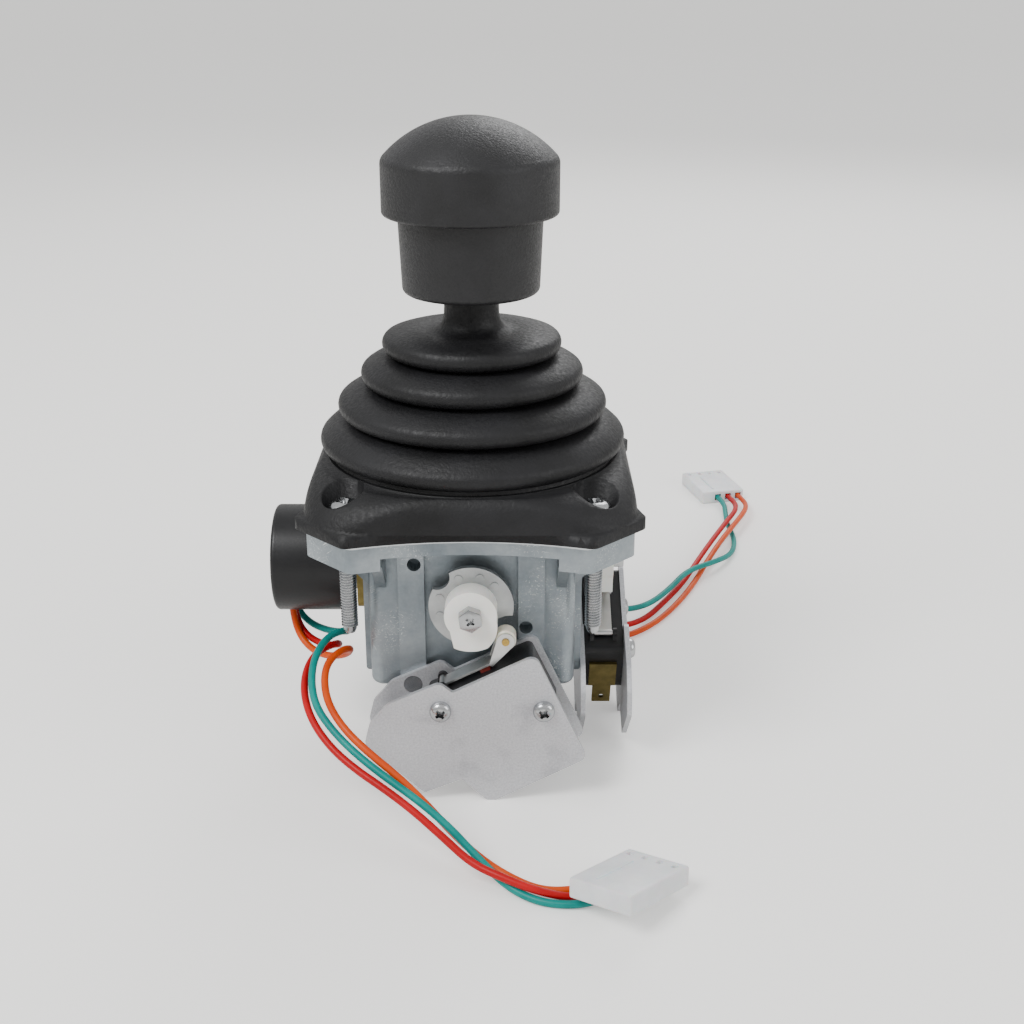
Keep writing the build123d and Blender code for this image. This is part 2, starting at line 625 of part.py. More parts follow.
save(boot.part, "boot")

# Cams: an indexing disc with round pips, and a white cam whose ramp works the switch roller
cam_rise = (CAM_HIGH_R - CAM_HUB_R) / (CAM_RAMP[0] - CAM_RAMP[1])
for side, turn in SWITCH_TURNS.items():
    with BuildPart() as cam_disc:
        with BuildSketch(wall_plane(BODY_HALF + DISC_GAP, turn, z=PIVOT_Z)):
            Circle(BUSH_R)
        extrude(amount=DISC_BACK - BODY_HALF - DISC_GAP)
        with BuildSketch(wall_plane(DISC_BACK, turn, z=PIVOT_Z)):
            Circle(DISC_R)
            with PolarLocations(DISC_R + 0.9, 1, start_angle=DISC_NOTCH):
                Circle(DISC_NOTCH_R, mode=Mode.SUBTRACT)
            with PolarLocations(DISC_R + 2.6, 1, start_angle=DISC_RELIEF):
                Circle(DISC_RELIEF_R, mode=Mode.SUBTRACT)
        extrude(amount=DISC_THICK)
        with BuildSketch(wall_plane(DISC_FACE, turn, z=PIVOT_Z)):
            for angle in PIP_ANGLES:
                with PolarLocations(PIP_CIRCLE_R, 1, start_angle=angle):
                    Circle(PIP_R)
        extrude(amount=PIP_HEIGHT)
        with BuildSketch(wall_plane(BODY_HALF, turn, z=PIVOT_Z)):
            Circle(STUB_R + FIT / 4)
        extrude(amount=DISC_FACE - BODY_HALF, mode=Mode.SUBTRACT)
    save(cam_disc.part, f"{side}_cam_disc")

    with BuildPart() as cam:
        with BuildSketch(wall_plane(DISC_FACE, turn, z=PIVOT_Z)):
            with BuildLine():
                ramp = [
                    polar(CAM_HUB_R + cam_rise * (CAM_RAMP[0] - angle), angle)
                    for angle in [CAM_RAMP[0] + (CAM_RAMP[1] - CAM_RAMP[0]) * k / 4 for k in range(5)]
                ]
                Spline(*ramp)
                lobe_middle = (CAM_RAMP[1] + CAM_LOBE_END) / 2
                ThreePointArc(ramp[-1], polar(CAM_HIGH_R, lobe_middle), polar(CAM_HIGH_R, CAM_LOBE_END))
                Line(polar(CAM_HIGH_R, CAM_LOBE_END), polar(CAM_HUB_R, CAM_FLANK_END))
                ThreePointArc(polar(CAM_HUB_R, CAM_FLANK_END), polar(CAM_HUB_R, 103), ramp[0])
            make_face()
        extrude(amount=CAM_THICK)
        with BuildSketch(wall_plane(DISC_FACE, turn, z=PIVOT_Z)):
            Circle(STUB_R + FIT / 4)
        extrude(amount=CAM_SHAFT_END - DISC_FACE, mode=Mode.SUBTRACT)
        with BuildSketch(wall_plane(CAM_SHAFT_END, turn, z=PIVOT_Z)):
            Circle(CAM_SCREW_R + FIT / 4)
        extrude(amount=CAM_FACE - CAM_SHAFT_END, mode=Mode.SUBTRACT)
        with BuildSketch(wall_plane(DISC_FACE, turn, z=PIVOT_Z)):
            for angle in PIP_ANGLES:
                with PolarLocations(PIP_CIRCLE_R, 1, start_angle=angle):
                    Circle(PIP_R + FIT)
        extrude(amount=PIP_HEIGHT + FIT, mode=Mode.SUBTRACT)
    save(cam.part, f"{side}_cam")

    with BuildPart() as cam_screw:
        with BuildSketch(wall_plane(CAM_FACE, turn, z=PIVOT_Z)):
            RegularPolygon(HEX_ACROSS / 2, 6, major_radius=False)
        extrude(amount=HEX_HEIGHT)
        with BuildSketch(wall_plane(CAM_FACE, turn, z=PIVOT_Z)):
            Circle(CAM_SCREW_R)
        extrude(amount=-(CAM_FACE - CAM_SHAFT_END + CAM_SCREW_DEPTH - 0.5))
    save(cam_screw.part, f"{side}_cam_screw")

# Switches: a snap-action switch between two sheet plates, worked through a roller lever
hole_x, hole_z = SWITCH_HOLES[0] / 2, SWITCH_HOLES[1] / 2
knee_x, knee_z = switch_point(*LEVER_KNEE)
top = SWITCH_HIGH / 2
for side, turn in SWITCH_TURNS.items():

    def tilted(out, along=0.0, up=0.0):
        """Plane on the switch at a distance from the axis, with its x along the switch."""
        x, z = switch_point(along, up)
        return wall_plane(out, turn, x, z, SWITCH_TILT)

    for plate_name, back in [("inner", PAD_FACE), ("outer", SWITCH_FACE)]:
        with BuildPart() as switch_plate:
            with BuildSketch(wall_plane(back, turn)):
                add(PLATE_OUTLINE)
                with Locations(switch_point(-hole_x, hole_z), switch_point(hole_x, -hole_z)):
                    Circle(SWITCH_HOLE_R, mode=Mode.SUBTRACT)
            extrude(amount=SHEET)
            if plate_name == "inner":
                for x, z in PLATE_SCREWS:
                    with BuildSketch(wall_plane(back, turn, x, z)):
                        Circle(PLATE_SCREW_R + FIT / 4)
                    with BuildSketch(wall_plane(back + SHEET, turn, x, z)):
                        Circle(PLATE_SCREW_HEAD_R + FIT / 4)
                    loft(mode=Mode.SUBTRACT)
        save(switch_plate.part, f"{side}_switch_{plate_name}_plate")

    with BuildPart() as switch_body:
        with BuildSketch(tilted(SWITCH_BACK)):
            RectangleRounded(SWITCH_LONG, SWITCH_HIGH, SWITCH_CORNER)
            with Locations((-hole_x, hole_z), (hole_x, -hole_z)):
                Circle(SWITCH_HOLE_R, mode=Mode.SUBTRACT)
        extrude(amount=SWITCH_THICK)
        for out in (SWITCH_MID - EAR_GAP - EAR_WALL, SWITCH_MID + EAR_GAP):
            with BuildSketch(tilted(out)):
                with BuildLine():
                    Polyline((LEVER_PIVOT[0] - EAR_ROOT, top - 0.5), (LEVER_PIVOT[0] + EAR_ROOT, top - 0.5),
                             (LEVER_PIVOT[0] + EAR_TIP, LEVER_PIVOT[1]),
                             (LEVER_PIVOT[0] - EAR_TIP, LEVER_PIVOT[1]), close=True)
                make_face()
                with Locations(LEVER_PIVOT):
                    Circle(EAR_TIP)
                    Circle(LEVER_PIN_R + RUNNING, mode=Mode.SUBTRACT)
            extrude(amount=EAR_WALL)
        with BuildSketch(tilted(SWITCH_MID - PLUNGER_SIZE[1] / 2 - FIT)):
            with Locations((PLUNGER_ALONG, top)):
                Rectangle(PLUNGER_SIZE[0] + 2 * FIT, 2 * PLUNGER_POCKET)
        extrude(amount=PLUNGER_SIZE[1] + 2 * FIT, mode=Mode.SUBTRACT)
    save(switch_body.part, f"{side}_switch_body")

    with BuildPart() as plunger:
        with BuildSketch(tilted(SWITCH_MID - PLUNGER_SIZE[1] / 2, PLUNGER_ALONG)):
            with Locations((0, top + PLUNGER_RISE - PLUNGER_LONG / 2)):
                Rectangle(PLUNGER_SIZE[0], PLUNGER_LONG)
        extrude(amount=PLUNGER_SIZE[1])
        fillet(plunger.edges().filter_by(Axis((0, 0, 0), tilted(0).z_dir)).group_by(Axis.Z)[-1], 0.4)
    save(plunger.part, f"{side}_switch_plunger")

    with BuildPart() as lever:
        with BuildSketch(tilted(SWITCH_MID - LEVER_WIDE / 2)):
            with BuildLine() as strip:
                Line(LEVER_PIVOT, LEVER_KNEE)
            trace(line_width=LEVER_THICK)
            with Locations(LEVER_PIVOT):
                Circle(LEVER_PIN_R + LEVER_THICK / 2)
        extrude(amount=LEVER_WIDE)
        with BuildSketch(tilted(SWITCH_MID - EAR_GAP - EAR_WALL)):
            with Locations(LEVER_PIVOT):
                Circle(LEVER_PIN_R)
        extrude(amount=2 * (EAR_GAP + EAR_WALL))
        for out in (SWITCH_MID - ROLLER_WIDE / 2 - FIT - LEVER_THICK, SWITCH_MID + ROLLER_WIDE / 2 + FIT):
            with BuildSketch(wall_plane(out, turn)):
                with Locations((knee_x, knee_z)):
                    Circle(LEVER_LOW_R)
                with Locations(ROLLER_AT):
                    Circle(LEVER_TOP_R)
                make_hull()
            extrude(amount=LEVER_THICK)
        with BuildSketch(wall_plane(SWITCH_MID - ROLLER_WIDE / 2 - FIT - LEVER_THICK, turn, *ROLLER_AT)):
            Circle(ROLLER_PIN_R + RUNNING)
        extrude(amount=ROLLER_WIDE + 2 * (FIT + LEVER_THICK), mode=Mode.SUBTRACT)
    save(lever.part, f"{side}_roller_lever")

    with BuildPart() as roller:
        with BuildSketch(wall_plane(SWITCH_MID - ROLLER_WIDE / 2, turn, *ROLLER_AT)):
            Circle(ROLLER_R)
            Circle(ROLLER_PIN_R + RUNNING, mode=Mode.SUBTRACT)
        extrude(amount=ROLLER_WIDE)
        chamfer(roller.edges().filter_by(GeomType.CIRCLE).sort_by(SortBy.RADIUS)[-2:], 0.3)
    save(roller.part, f"{side}_roller")

    with BuildPart() as roller_pin:
        with BuildSketch(wall_plane(SWITCH_MID - ROLLER_WIDE / 2 - LEVER_THICK - 0.5, turn, *ROLLER_AT)):
            Circle(ROLLER_PIN_R)
        extrude(amount=ROLLER_WIDE + 2 * LEVER_THICK + 1.0)
    save(roller_pin.part, f"{side}_roller_pin")

    # The common terminal is bent down over the end, the other two stand out of the bottom
    with BuildPart() as terminals:
        with BuildSketch(tilted(SWITCH_MID - TAB_BASE / 2)):
            with Locations((-SWITCH_LONG / 2 - TAB_THICK / 2, -1.5)):
                Rectangle(TAB_THICK, TAB_BASE + 2)
        extrude(amount=TAB_BASE)
        with BuildSketch(tilted(SWITCH_MID - TAB_WIDE / 2)):
            with Locations((-SWITCH_LONG / 2 - TAB_THICK / 2, -1.5 - TAB_BASE / 2 - TAB_LONG / 2)):
                Rectangle(TAB_THICK, TAB_LONG)
            with Locations((0, -top - TAB_LONG / 2), (hole_x - TAB_INSET, -top - TAB_LONG / 2)):
                Rectangle(TAB_THICK, TAB_LONG)
        extrude(amount=TAB_WIDE)
        for along, up in [(-SWITCH_LONG / 2, -TAB_LONG - 2.6), (0, -top - TAB_LONG + 2.4),
                          (hole_x - TAB_INSET, -top - TAB_LONG + 2.4)]:
            hole = tilted(SWITCH_MID, along, up)
            with BuildSketch(Plane(origin=hole.origin - hole.x_dir * 2, x_dir=hole.z_dir, z_dir=hole.x_dir)):
                Circle(TAB_HOLE_R)
            extrude(amount=4, mode=Mode.SUBTRACT)
    save(terminals.part, f"{side}_switch_terminals")

    with BuildPart() as switch_screws:
        for along, up in [(-hole_x, hole_z), (hole_x, -hole_z)]:
            with BuildSketch(tilted(SWITCH_FACE + SHEET, along, up)):
                Circle(SWITCH_HEAD_R)
            extrude(amount=SWITCH_HEAD)
        fillet(switch_screws.faces().sort_by(Axis((0, 0, 0), wall_plane(0, turn).z_dir))[-2:].edges(),
               SWITCH_HEAD * 0.6)
        for along, up in [(-hole_x, hole_z), (hole_x, -hole_z)]:
            with BuildSketch(tilted(SWITCH_FACE + SHEET, along, up)):
                Circle(SWITCH_SCREW_R)
            extrude(amount=-(SWITCH_THICK + 2 * SHEET - 0.1))
    save(switch_screws.part, f"{side}_switch_screws")

# Countersunk screws that hold both inner plates to the housing's pads
with BuildPart() as plate_screws:
    for turn in SWITCH_TURNS.values():
        for x, z in PLATE_SCREWS:
            with BuildSketch(wall_plane(PAD_FACE, turn, x, z)):
                Circle(PLATE_SCREW_R)
            with BuildSketch(wall_plane(SWITCH_BACK, turn, x, z)):
                Circle(PLATE_SCREW_HEAD_R)
            loft()
            with BuildSketch(wall_plane(PAD_FACE, turn, x, z)):
                Circle(PLATE_SCREW_R)
            extrude(amount=-(TAP_DEPTH - 0.3))
save(plate_screws.part, "plate_screws")

# Potentiometers on a brass plate across two pads, under a moulded cover
pot_nut_face = PAD_FACE + POT_PLATE_THICK
body_r = POT_R - POT_WALL - FIT
for side, turn in POT_TURNS.items():
    with BuildPart() as pot_plate:
        with BuildSketch(wall_plane(PAD_FACE, turn, z=PIVOT_Z)):
            RectangleRounded(2 * PAD_OUT, POT_PLATE_WIDE, 2.0)
            Circle(POT_NECK_R + FIT, mode=Mode.SUBTRACT)
            with Locations((-PAD_MIDDLE, 0), (PAD_MIDDLE, 0)):
                Circle(POT_SCREW_R + FIT, mode=Mode.SUBTRACT)
        extrude(amount=POT_PLATE_THICK)
    save(pot_plate.part, f"{side}_pot_plate")

    with BuildPart() as pot_screws:
        with BuildSketch(wall_plane(pot_nut_face, turn, z=PIVOT_Z)):
            with Locations((-PAD_MIDDLE, 0), (PAD_MIDDLE, 0)):
                Circle(POT_SCREW_HEAD_R)
        extrude(amount=POT_SCREW_HEAD)
        with BuildSketch(wall_plane(pot_nut_face, turn, z=PIVOT_Z)):
            with Locations((-PAD_MIDDLE, 0), (PAD_MIDDLE, 0)):
                Circle(POT_SCREW_R)
        extrude(amount=-(POT_PLATE_THICK + TAP_DEPTH - 0.3))
    save(pot_screws.part, f"{side}_pot_screws")

    with BuildPart() as pot_nut:
        with BuildSketch(wall_plane(pot_nut_face, turn, z=PIVOT_Z)):
            RegularPolygon(POT_NUT_ACROSS / 2 + 0.8, 6, major_radius=False)
            Circle(POT_NECK_R + FIT / 4, mode=Mode.SUBTRACT)
        extrude(amount=POT_NUT_THICK)
    save(pot_nut.part, f"{side}_pot_nut")

    with BuildPart() as pot_body:
        for radius, start, stop in [(POT_NECK_R, PAD_FACE, POT_START),
                                    (POT_R, POT_START, POT_START + POT_LIP),
                                    (body_r, POT_START + POT_LIP, POT_START + POT_LONG)]:
            with BuildSketch(wall_plane(start, turn, z=PIVOT_Z)):
                Circle(radius)
            extrude(amount=stop - start)
        with BuildSketch(wall_plane(POT_START + POT_LONG, turn, z=PIVOT_Z)):
            with Locations((0, -body_r + TERMINAL_INSET)):
                Rectangle(TERMINAL_WIDE, TERMINAL_HIGH)
        extrude(amount=TERMINAL_THICK)
        with BuildSketch(wall_plane(PAD_FACE, turn, z=PIVOT_Z)):
            Circle(BORE_R)
        extrude(amount=ROTOR_AT - PAD_FACE, mode=Mode.SUBTRACT)
        with BuildSketch(wall_plane(ROTOR_AT - ROTOR_BACK, turn, z=PIVOT_Z)):
            Circle(ROTOR_R + 1)
        extrude(amount=ROTOR_ROOM, mode=Mode.SUBTRACT)
    save(pot_body.part, f"{side}_pot_body")

    with BuildPart() as pot_rotor:
        with BuildSketch(wall_plane(ROTOR_AT, turn, z=PIVOT_Z)):
            Circle(ROTOR_R)
            Circle(STUB_R + FIT / 4, mode=Mode.SUBTRACT)
        extrude(amount=ROTOR_THICK)
    save(pot_rotor.part, f"{side}_pot_rotor")

    with BuildPart() as pot_cover:
        with BuildSketch(wall_plane(POT_START + POT_LIP, turn, z=PIVOT_Z)):
            Circle(POT_R)
        extrude(amount=POT_END - POT_START - POT_LIP)
        fillet(pot_cover.faces().sort_by(Axis((0, 0, 0), wall_plane(0, turn).z_dir))[-1].edges(), 1.0)
        with BuildSketch(wall_plane(POT_START + POT_LIP, turn, z=PIVOT_Z)):
            Circle(POT_R - POT_WALL)
        extrude(amount=POT_END - POT_START - POT_LIP - POT_WALL, mode=Mode.SUBTRACT)
        with BuildSketch(wall_plane(POT_START + POT_LONG + 0.1, turn, z=PIVOT_Z)):
            with Locations((0, -POT_R)):
                Rectangle(3 * WIRE_STEP, 4 * POT_WALL)
        extrude(amount=TERMINAL_THICK, mode=Mode.SUBTRACT)
    save(pot_cover.part, f"{side}_pot_cover")

    wall = wall_plane(SPRING_START, turn, z=PIVOT_Z)
    seat = Plane(origin=wall.origin, x_dir=-wall.x_dir, z_dir=wall.z_dir)
    coil = seat * Helix(SPRING_PITCH, SPRING_PITCH * SPRING_TURNS, SPRING_COIL_R)
    with BuildPart() as spring:
        with BuildSketch(Plane(origin=coil @ 0, z_dir=coil % 0)):
            Circle(SPRING_WIRE_R)
        sweep(path=coil, is_frenet=True)
        for end in (0, 1):
            with BuildSketch(Plane(origin=coil @ end, z_dir=(0, 0, 1))):
                Circle(SPRING_WIRE_R)
            extrude(amount=SPRING_LEG)
    save(spring.part, f"{side}_spring")

# Leads: three wires from each potentiometer to its plug
LEADS = {
    "left_lead_teal": [
        (-LEAD_OUT, 2.4, -29.25), (-LEAD_OUT, 2.4, -34.4), (-43.6, 0.4, -38.4),
        (-37.5, -5.0, -38.3), (-31.9, -10.7, -35.6), (-31.5, -15.9, -32.5), (-35.1, -21.2, -31.2),
        (-37.7, -28.0, -32.7), (-38.1, -35.5, -35.6), (-36.4, -42.5, -38.9), (-31.9, -48.5, -42.0),
        (-26.0, -53.6, -45.3), (-19.1, -58.0, -48.6), (-11.3, -62.3, -52.1), (-4.3, -66.3, -56.3),
        (1.9, -70.6, -61.2), (8.3, -75.8, -65.1), (15.2, -80.4, -65.9), (22.6, -81.6, -65.9),
        (28.6, -81.0, -65.0), (34.0, -79.1, -62.9),
    ],
    "left_lead_red": [
        (-LEAD_OUT, 0.0, -29.25), (-LEAD_OUT, 0.0, -35.4), (-44.1, -2.9, -40.4),
        (-38.4, -8.3, -40.7), (-33.6, -13.2, -37.9), (-34.0, -18.4, -34.9), (-38.0, -24.0, -34.4),
        (-39.9, -30.9, -35.6), (-39.6, -38.2, -38.2), (-37.0, -45.2, -41.4), (-32.1, -51.3, -44.9),
        (-25.9, -56.4, -47.6), (-19.1, -60.4, -50.2), (-12.3, -64.4, -53.4), (-5.7, -68.6, -57.4),
        (0.8, -72.9, -61.4), (7.8, -76.4, -62.6), (15.0, -78.9, -64.1), (22.3, -79.0, -65.9),
        (28.4, -77.6, -65.4), (34.1, -75.2, -63.8),
    ],
    "left_lead_orange": [
        (-LEAD_OUT, -2.4, -29.25), (-LEAD_OUT, -2.4, -35.6), (-44.3, -5.5, -41.2),
        (-38.6, -10.7, -42.6), (-32.1, -15.1, -40.0), (-30.0, -19.5, -35.7), (-32.1, -24.6, -33.7),
        (-34.6, -30.6, -33.8), (-34.9, -36.6, -35.6), (-33.2, -43.2, -38.2), (-29.0, -49.3, -41.3),
        (-23.1, -53.9, -44.7), (-16.3, -57.2, -48.9), (-9.7, -61.2, -53.6), (-3.4, -65.7, -58.7),
        (3.2, -69.6, -62.9), (9.6, -73.4, -64.9), (15.9, -76.3, -65.9), (22.4, -76.5, -65.9),
        (28.4, -74.2, -65.7), (34.2, -71.3, -64.7),
    ],
    "rear_lead_teal": [
        (2.4, LEAD_OUT, -29.25), (2.4, LEAD_OUT, -34.5), (5.0, 47.2, -40.0), (11.6, 47.0, -45.6),
        (21.0, 46.8, -50.8), (32.0, 47.6, -55.6), (43.4, 51.6, -59.6), (52.0, 61.6, -62.4),
        (59.6, 73.6, -62.6), (66.4, 86.4, -62.0), (77.2, 96.4, -63.2), (84.6, 108.4, -65.6),
        (87.4, 121.6, -65.8), (86.4, 134.6, -65.3), (87.2, 144.2, -64.9), (87.93, 153.2, -64.5),
        (86.01, 160.91, -64.5),
    ],
    "rear_lead_red": [
        (0.0, LEAD_OUT, -29.25), (0.0, LEAD_OUT, -34.8), (3.0, 46.8, -41.8), (10.6, 46.2, -48.4),
        (20.6, 45.4, -54.4), (31.6, 45.2, -59.4), (42.0, 47.6, -63.2), (50.4, 57.2, -65.4),
        (57.6, 70.6, -65.8), (65.2, 84.8, -65.6), (71.6, 99.2, -64.0), (78.4, 114.2, -62.9),
        (84.8, 128.8, -62.7), (89.8, 139.6, -62.6), (91.4, 147.4, -63.6), (91.77, 154.16, -64.5),
        (89.85, 161.87, -64.5),
    ],
    "rear_lead_orange": [
        (-2.4, LEAD_OUT, -29.25), (-2.4, LEAD_OUT, -35.4), (0.4, 46.0, -43.6), (8.4, 44.4, -51.8),
        (18.8, 42.6, -58.2), (30.4, 42.2, -62.8), (41.8, 44.2, -65.4), (52.4, 54.0, -65.8),
        (61.4, 68.4, -65.6), (68.6, 84.2, -65.6), (74.8, 99.4, -64.4), (81.2, 113.6, -63.0),
        (87.8, 127.6, -62.7), (93.2, 139.4, -62.6), (95.2, 147.6, -63.6), (95.61, 155.12, -64.5),
        (93.69, 162.83, -64.5),
    ],
}


def bend_radii(route):
    """Radius at each corner of a route, from its shorter run and the turn there."""
    points = [Vector(*point) for point in route]
    radii = []
    for before, corner, after in zip(points, points[1:], points[2:]):
        run_in, run_out = corner - before, after - corner
        turn = math.radians(run_in.get_angle(run_out))
        radii.append(BEND_SHARE * min(run_in.length, run_out.length) / math.tan(turn / 2))
    return radii


for name, route in LEADS.items():
    radii = bend_radii(route)
    with BuildPart() as lead:
        with BuildLine() as run:
            FilletPolyline(*route, radius=radii)
        with BuildSketch(Plane(origin=run.line @ 0, z_dir=run.line % 0)):
            Circle(WIRE_R)
        sweep(path=run.line)
    save(lead.part, name)
    length = run.wires()[0].length
    share = lead.part.volume / (math.pi * WIRE_R**2 * length)
    print(name, "length", round(length, 1), "volume share", round(share, 4),
          "radii", [round(radius, 1) for radius in radii])

# Nylon plugs: flat boxes that lie on the table, each hollowed round the ends of its leads
for side, (entry_x, entry_y, heading, lean) in PLUGS.items():
    c, s = math.cos(math.radians(heading)), math.sin(math.radians(heading))
    lean_c, lean_s = math.cos(math.radians(lean)), math.sin(math.radians(lean))
    entry_z = TABLE_Z + (PLUG_LONG * s + PLUG_WIDE / 2 * c) * lean_s
    base = Plane(
        origin=(entry_x, entry_y, entry_z),
        x_dir=(c, s * lean_c, -s * lean_s),
        z_dir=(0, lean_s, lean_c),
    )
    with BuildPart() as plug:
        with BuildSketch(base):
            with Locations((PLUG_LONG / 2, 0)):
                Rectangle(PLUG_LONG, PLUG_WIDE)
        extrude(amount=PLUG_HIGH)
        fillet(plug.edges().filter_by(Axis((0, 0, 0), base.z_dir)), PLUG_FILLET)
        for name, route in LEADS.items():
            if not name.startswith(side):
                continue
            ends = route[-4:]
            with BuildLine() as bore:
                FilletPolyline(*ends, radius=bend_radii(ends))
            with BuildSketch(Plane(origin=bore.line @ 0, z_dir=bore.line % 0)):
                Circle(WIRE_R + FIT)
            sweep(path=bore.line, mode=Mode.SUBTRACT)
    save(plug.part, f"{side}_plug")
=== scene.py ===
"""Dresses the two-axis panel joystick: its boot, knob, screws, plugs and leads, and the
finish of every solid. Metres, in the solids' own frame, with +Z up the handle and the
operator on the -Y side."""
import json
import math

import bpy
from mathutils import Matrix, Vector

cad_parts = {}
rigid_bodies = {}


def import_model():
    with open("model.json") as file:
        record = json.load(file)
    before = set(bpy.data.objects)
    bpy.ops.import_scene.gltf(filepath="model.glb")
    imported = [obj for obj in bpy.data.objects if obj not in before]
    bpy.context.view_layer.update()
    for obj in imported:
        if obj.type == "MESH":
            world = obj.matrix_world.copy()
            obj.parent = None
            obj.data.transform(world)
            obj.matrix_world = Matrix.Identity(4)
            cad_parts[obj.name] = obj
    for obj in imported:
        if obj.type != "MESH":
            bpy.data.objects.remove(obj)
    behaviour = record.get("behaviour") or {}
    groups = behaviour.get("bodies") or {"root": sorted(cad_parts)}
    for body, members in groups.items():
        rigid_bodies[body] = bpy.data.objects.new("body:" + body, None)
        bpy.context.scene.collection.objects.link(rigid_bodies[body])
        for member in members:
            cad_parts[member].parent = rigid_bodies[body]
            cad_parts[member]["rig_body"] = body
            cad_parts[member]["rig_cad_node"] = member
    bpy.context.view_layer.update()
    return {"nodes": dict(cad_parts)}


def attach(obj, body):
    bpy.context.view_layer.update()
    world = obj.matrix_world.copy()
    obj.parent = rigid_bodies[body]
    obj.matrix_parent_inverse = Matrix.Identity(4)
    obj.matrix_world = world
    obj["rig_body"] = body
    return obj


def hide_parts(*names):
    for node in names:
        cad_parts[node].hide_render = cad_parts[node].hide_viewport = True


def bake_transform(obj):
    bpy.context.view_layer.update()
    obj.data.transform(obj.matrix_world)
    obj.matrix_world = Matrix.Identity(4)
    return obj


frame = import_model()

bl_info = {
    "name": "Panel Joystick",
    "version": (1, 0, 0),
    "blender": (4, 5, 0),
    "location": "View3D > Sidebar > Joystick",
    "description": "Dresses a two-axis panel joystick",
    "category": "Object",
}

MM = 0.001

# Places and sizes on the solids, in millimetres
PIVOT = -19.5             # height of the gimbal's axes
TABLE = -66.8             # height of the table
SCREW_AT = 29.0           # long screws, from the middle on both axes
SCREW_SEAT = 4.0          # underside of their heads
SCREW_CREST = 2.0         # radius of their thread
THREAD_START = -25.2      # lowest turn of the thread
TIP_START, TIP_END = -25.5, -26.35
TIP_TAPER = 0.35
CORE_OVER = 0.02          # core past the thread's root, so that the two join
SWITCH_AT = (5.0, -42.1)  # middle of a switch stack on its wall
SWITCH_TILT = 25.0        # degrees
SWITCH_HOLES = (11.1, 5.15)
SWITCH_FACE = 39.5        # outer plates, from the middle
CAM_FACE = 35.4           # cams, from the middle
POT_FACE = 28.3           # potentiometers' plates, from the middle
POT_SCREW_AT = 14.35
NECK_R = 6.6              # boot round the shaft

# Heads of the pan-head screws: radius and height, in millimetres
LONG_HEAD = (4.0, 3.3)
SWITCH_HEAD = (2.6, 2.0)
POT_HEAD = (2.2, 1.6)

# The room: a disc of floor with a cove all round it, in millimetres
FLOOR_R, COVE_R = 3000, 1000
FLOOR_GAP = 0.02          # floor below the table's height
FLOOR_LIFT = 0.36         # light that the floor shows to the camera alone
SKY_LIGHT, SKY_SEEN = 0.72, 0.9
LAMPS = [                 # name, power, side, place in metres
    ("key", 8.5, 0.4, (-0.5, -0.45, 0.75)),
    ("fill", 2.4, 0.5, (0.75, -0.35, 0.35)),
    ("rim", 3.6, 0.5, (0.25, 0.75, 0.6)),
]

# The camera, in metres, degrees and millimetres
CAMERA_AT = (0.0097, -0.3334, 0.1254)
CAMERA_DOWN = 21.69
LENS, SENSOR = 49.77, 36.0

# Boot's folds from the bottom: radius of the lip and its height, in millimetres
FOLDS = [(37.4, 14.2), (32.8, 22.6), (27.0, 30.2), (21.7, 37.4)]
LIP_R, LIP_HALF = 2.2, 2.3
GROOVE_IN, GROOVE_DOWN = 3.6, 3.1
FOOT_TOP = 10.6           # height at which the foot ends under the folds
RECESS_FLOOR, RECESS_TOP = 4.6, 14.0
RECESS_R = (5.0, 5.5)     # at its floor and at its top
LOWER_BEND = (0.0105, 0.0255)   # heights in metres for a bend of the lower folds, which nothing here applies
UPPER_BEND = (0.0285, 0.0460)

# Plugs: length, width and height, the four ways across, and for each side its place
# and heading, its lean and the ways that stand open
PLUG_LONG, PLUG_WIDE, PLUG_HIGH = 22.0, 16.2, 4.6
WAYS = (-5.94, -1.98, 1.98, 5.94)
PLUGS = [
    ("left", (27.97, -88.11, 49.8, 14.0), []),
    ("rear", (88.4, 159.5, 104.0, 0.0), [1.98, -1.98, -5.94]),
]

# Routes of the leads, potentiometer first, in millimetres
LEFT_TEAL = [
    (-47.05, 2.4, -29.25), (-47.05, 2.4, -34.4), (-43.6, 0.4, -38.4),
    (-37.5, -5.0, -38.3), (-31.9, -10.7, -35.6), (-31.5, -15.9, -32.5), (-35.1, -21.2, -31.2),
    (-37.7, -28.0, -32.7), (-38.1, -35.5, -35.6), (-36.4, -42.5, -38.9), (-31.9, -48.5, -42.0),
    (-26.0, -53.6, -45.3), (-19.1, -58.0, -48.6), (-11.3, -62.3, -52.1), (-4.3, -66.3, -56.3),
    (1.9, -70.6, -61.2), (8.3, -75.8, -65.1), (15.2, -80.4, -65.9), (22.6, -81.6, -65.9),
    (28.6, -81.0, -65.0), (34.0, -79.1, -62.9),
]
LEFT_RED = [
    (-47.05, 0.0, -29.25), (-47.05, 0.0, -35.4), (-44.1, -2.9, -40.4),
    (-38.4, -8.3, -40.7), (-33.6, -13.2, -37.9), (-34.0, -18.4, -34.9), (-38.0, -24.0, -34.4),
    (-39.9, -30.9, -35.6), (-39.6, -38.2, -38.2), (-37.0, -45.2, -41.4), (-32.1, -51.3, -44.9),
    (-25.9, -56.4, -47.6), (-19.1, -60.4, -50.2), (-12.3, -64.4, -53.4), (-5.7, -68.6, -57.4),
    (0.8, -72.9, -61.4), (7.8, -76.4, -62.6), (15.0, -78.9, -64.1), (22.3, -79.0, -65.9),
    (28.4, -77.6, -65.4), (34.1, -75.2, -63.8),
]
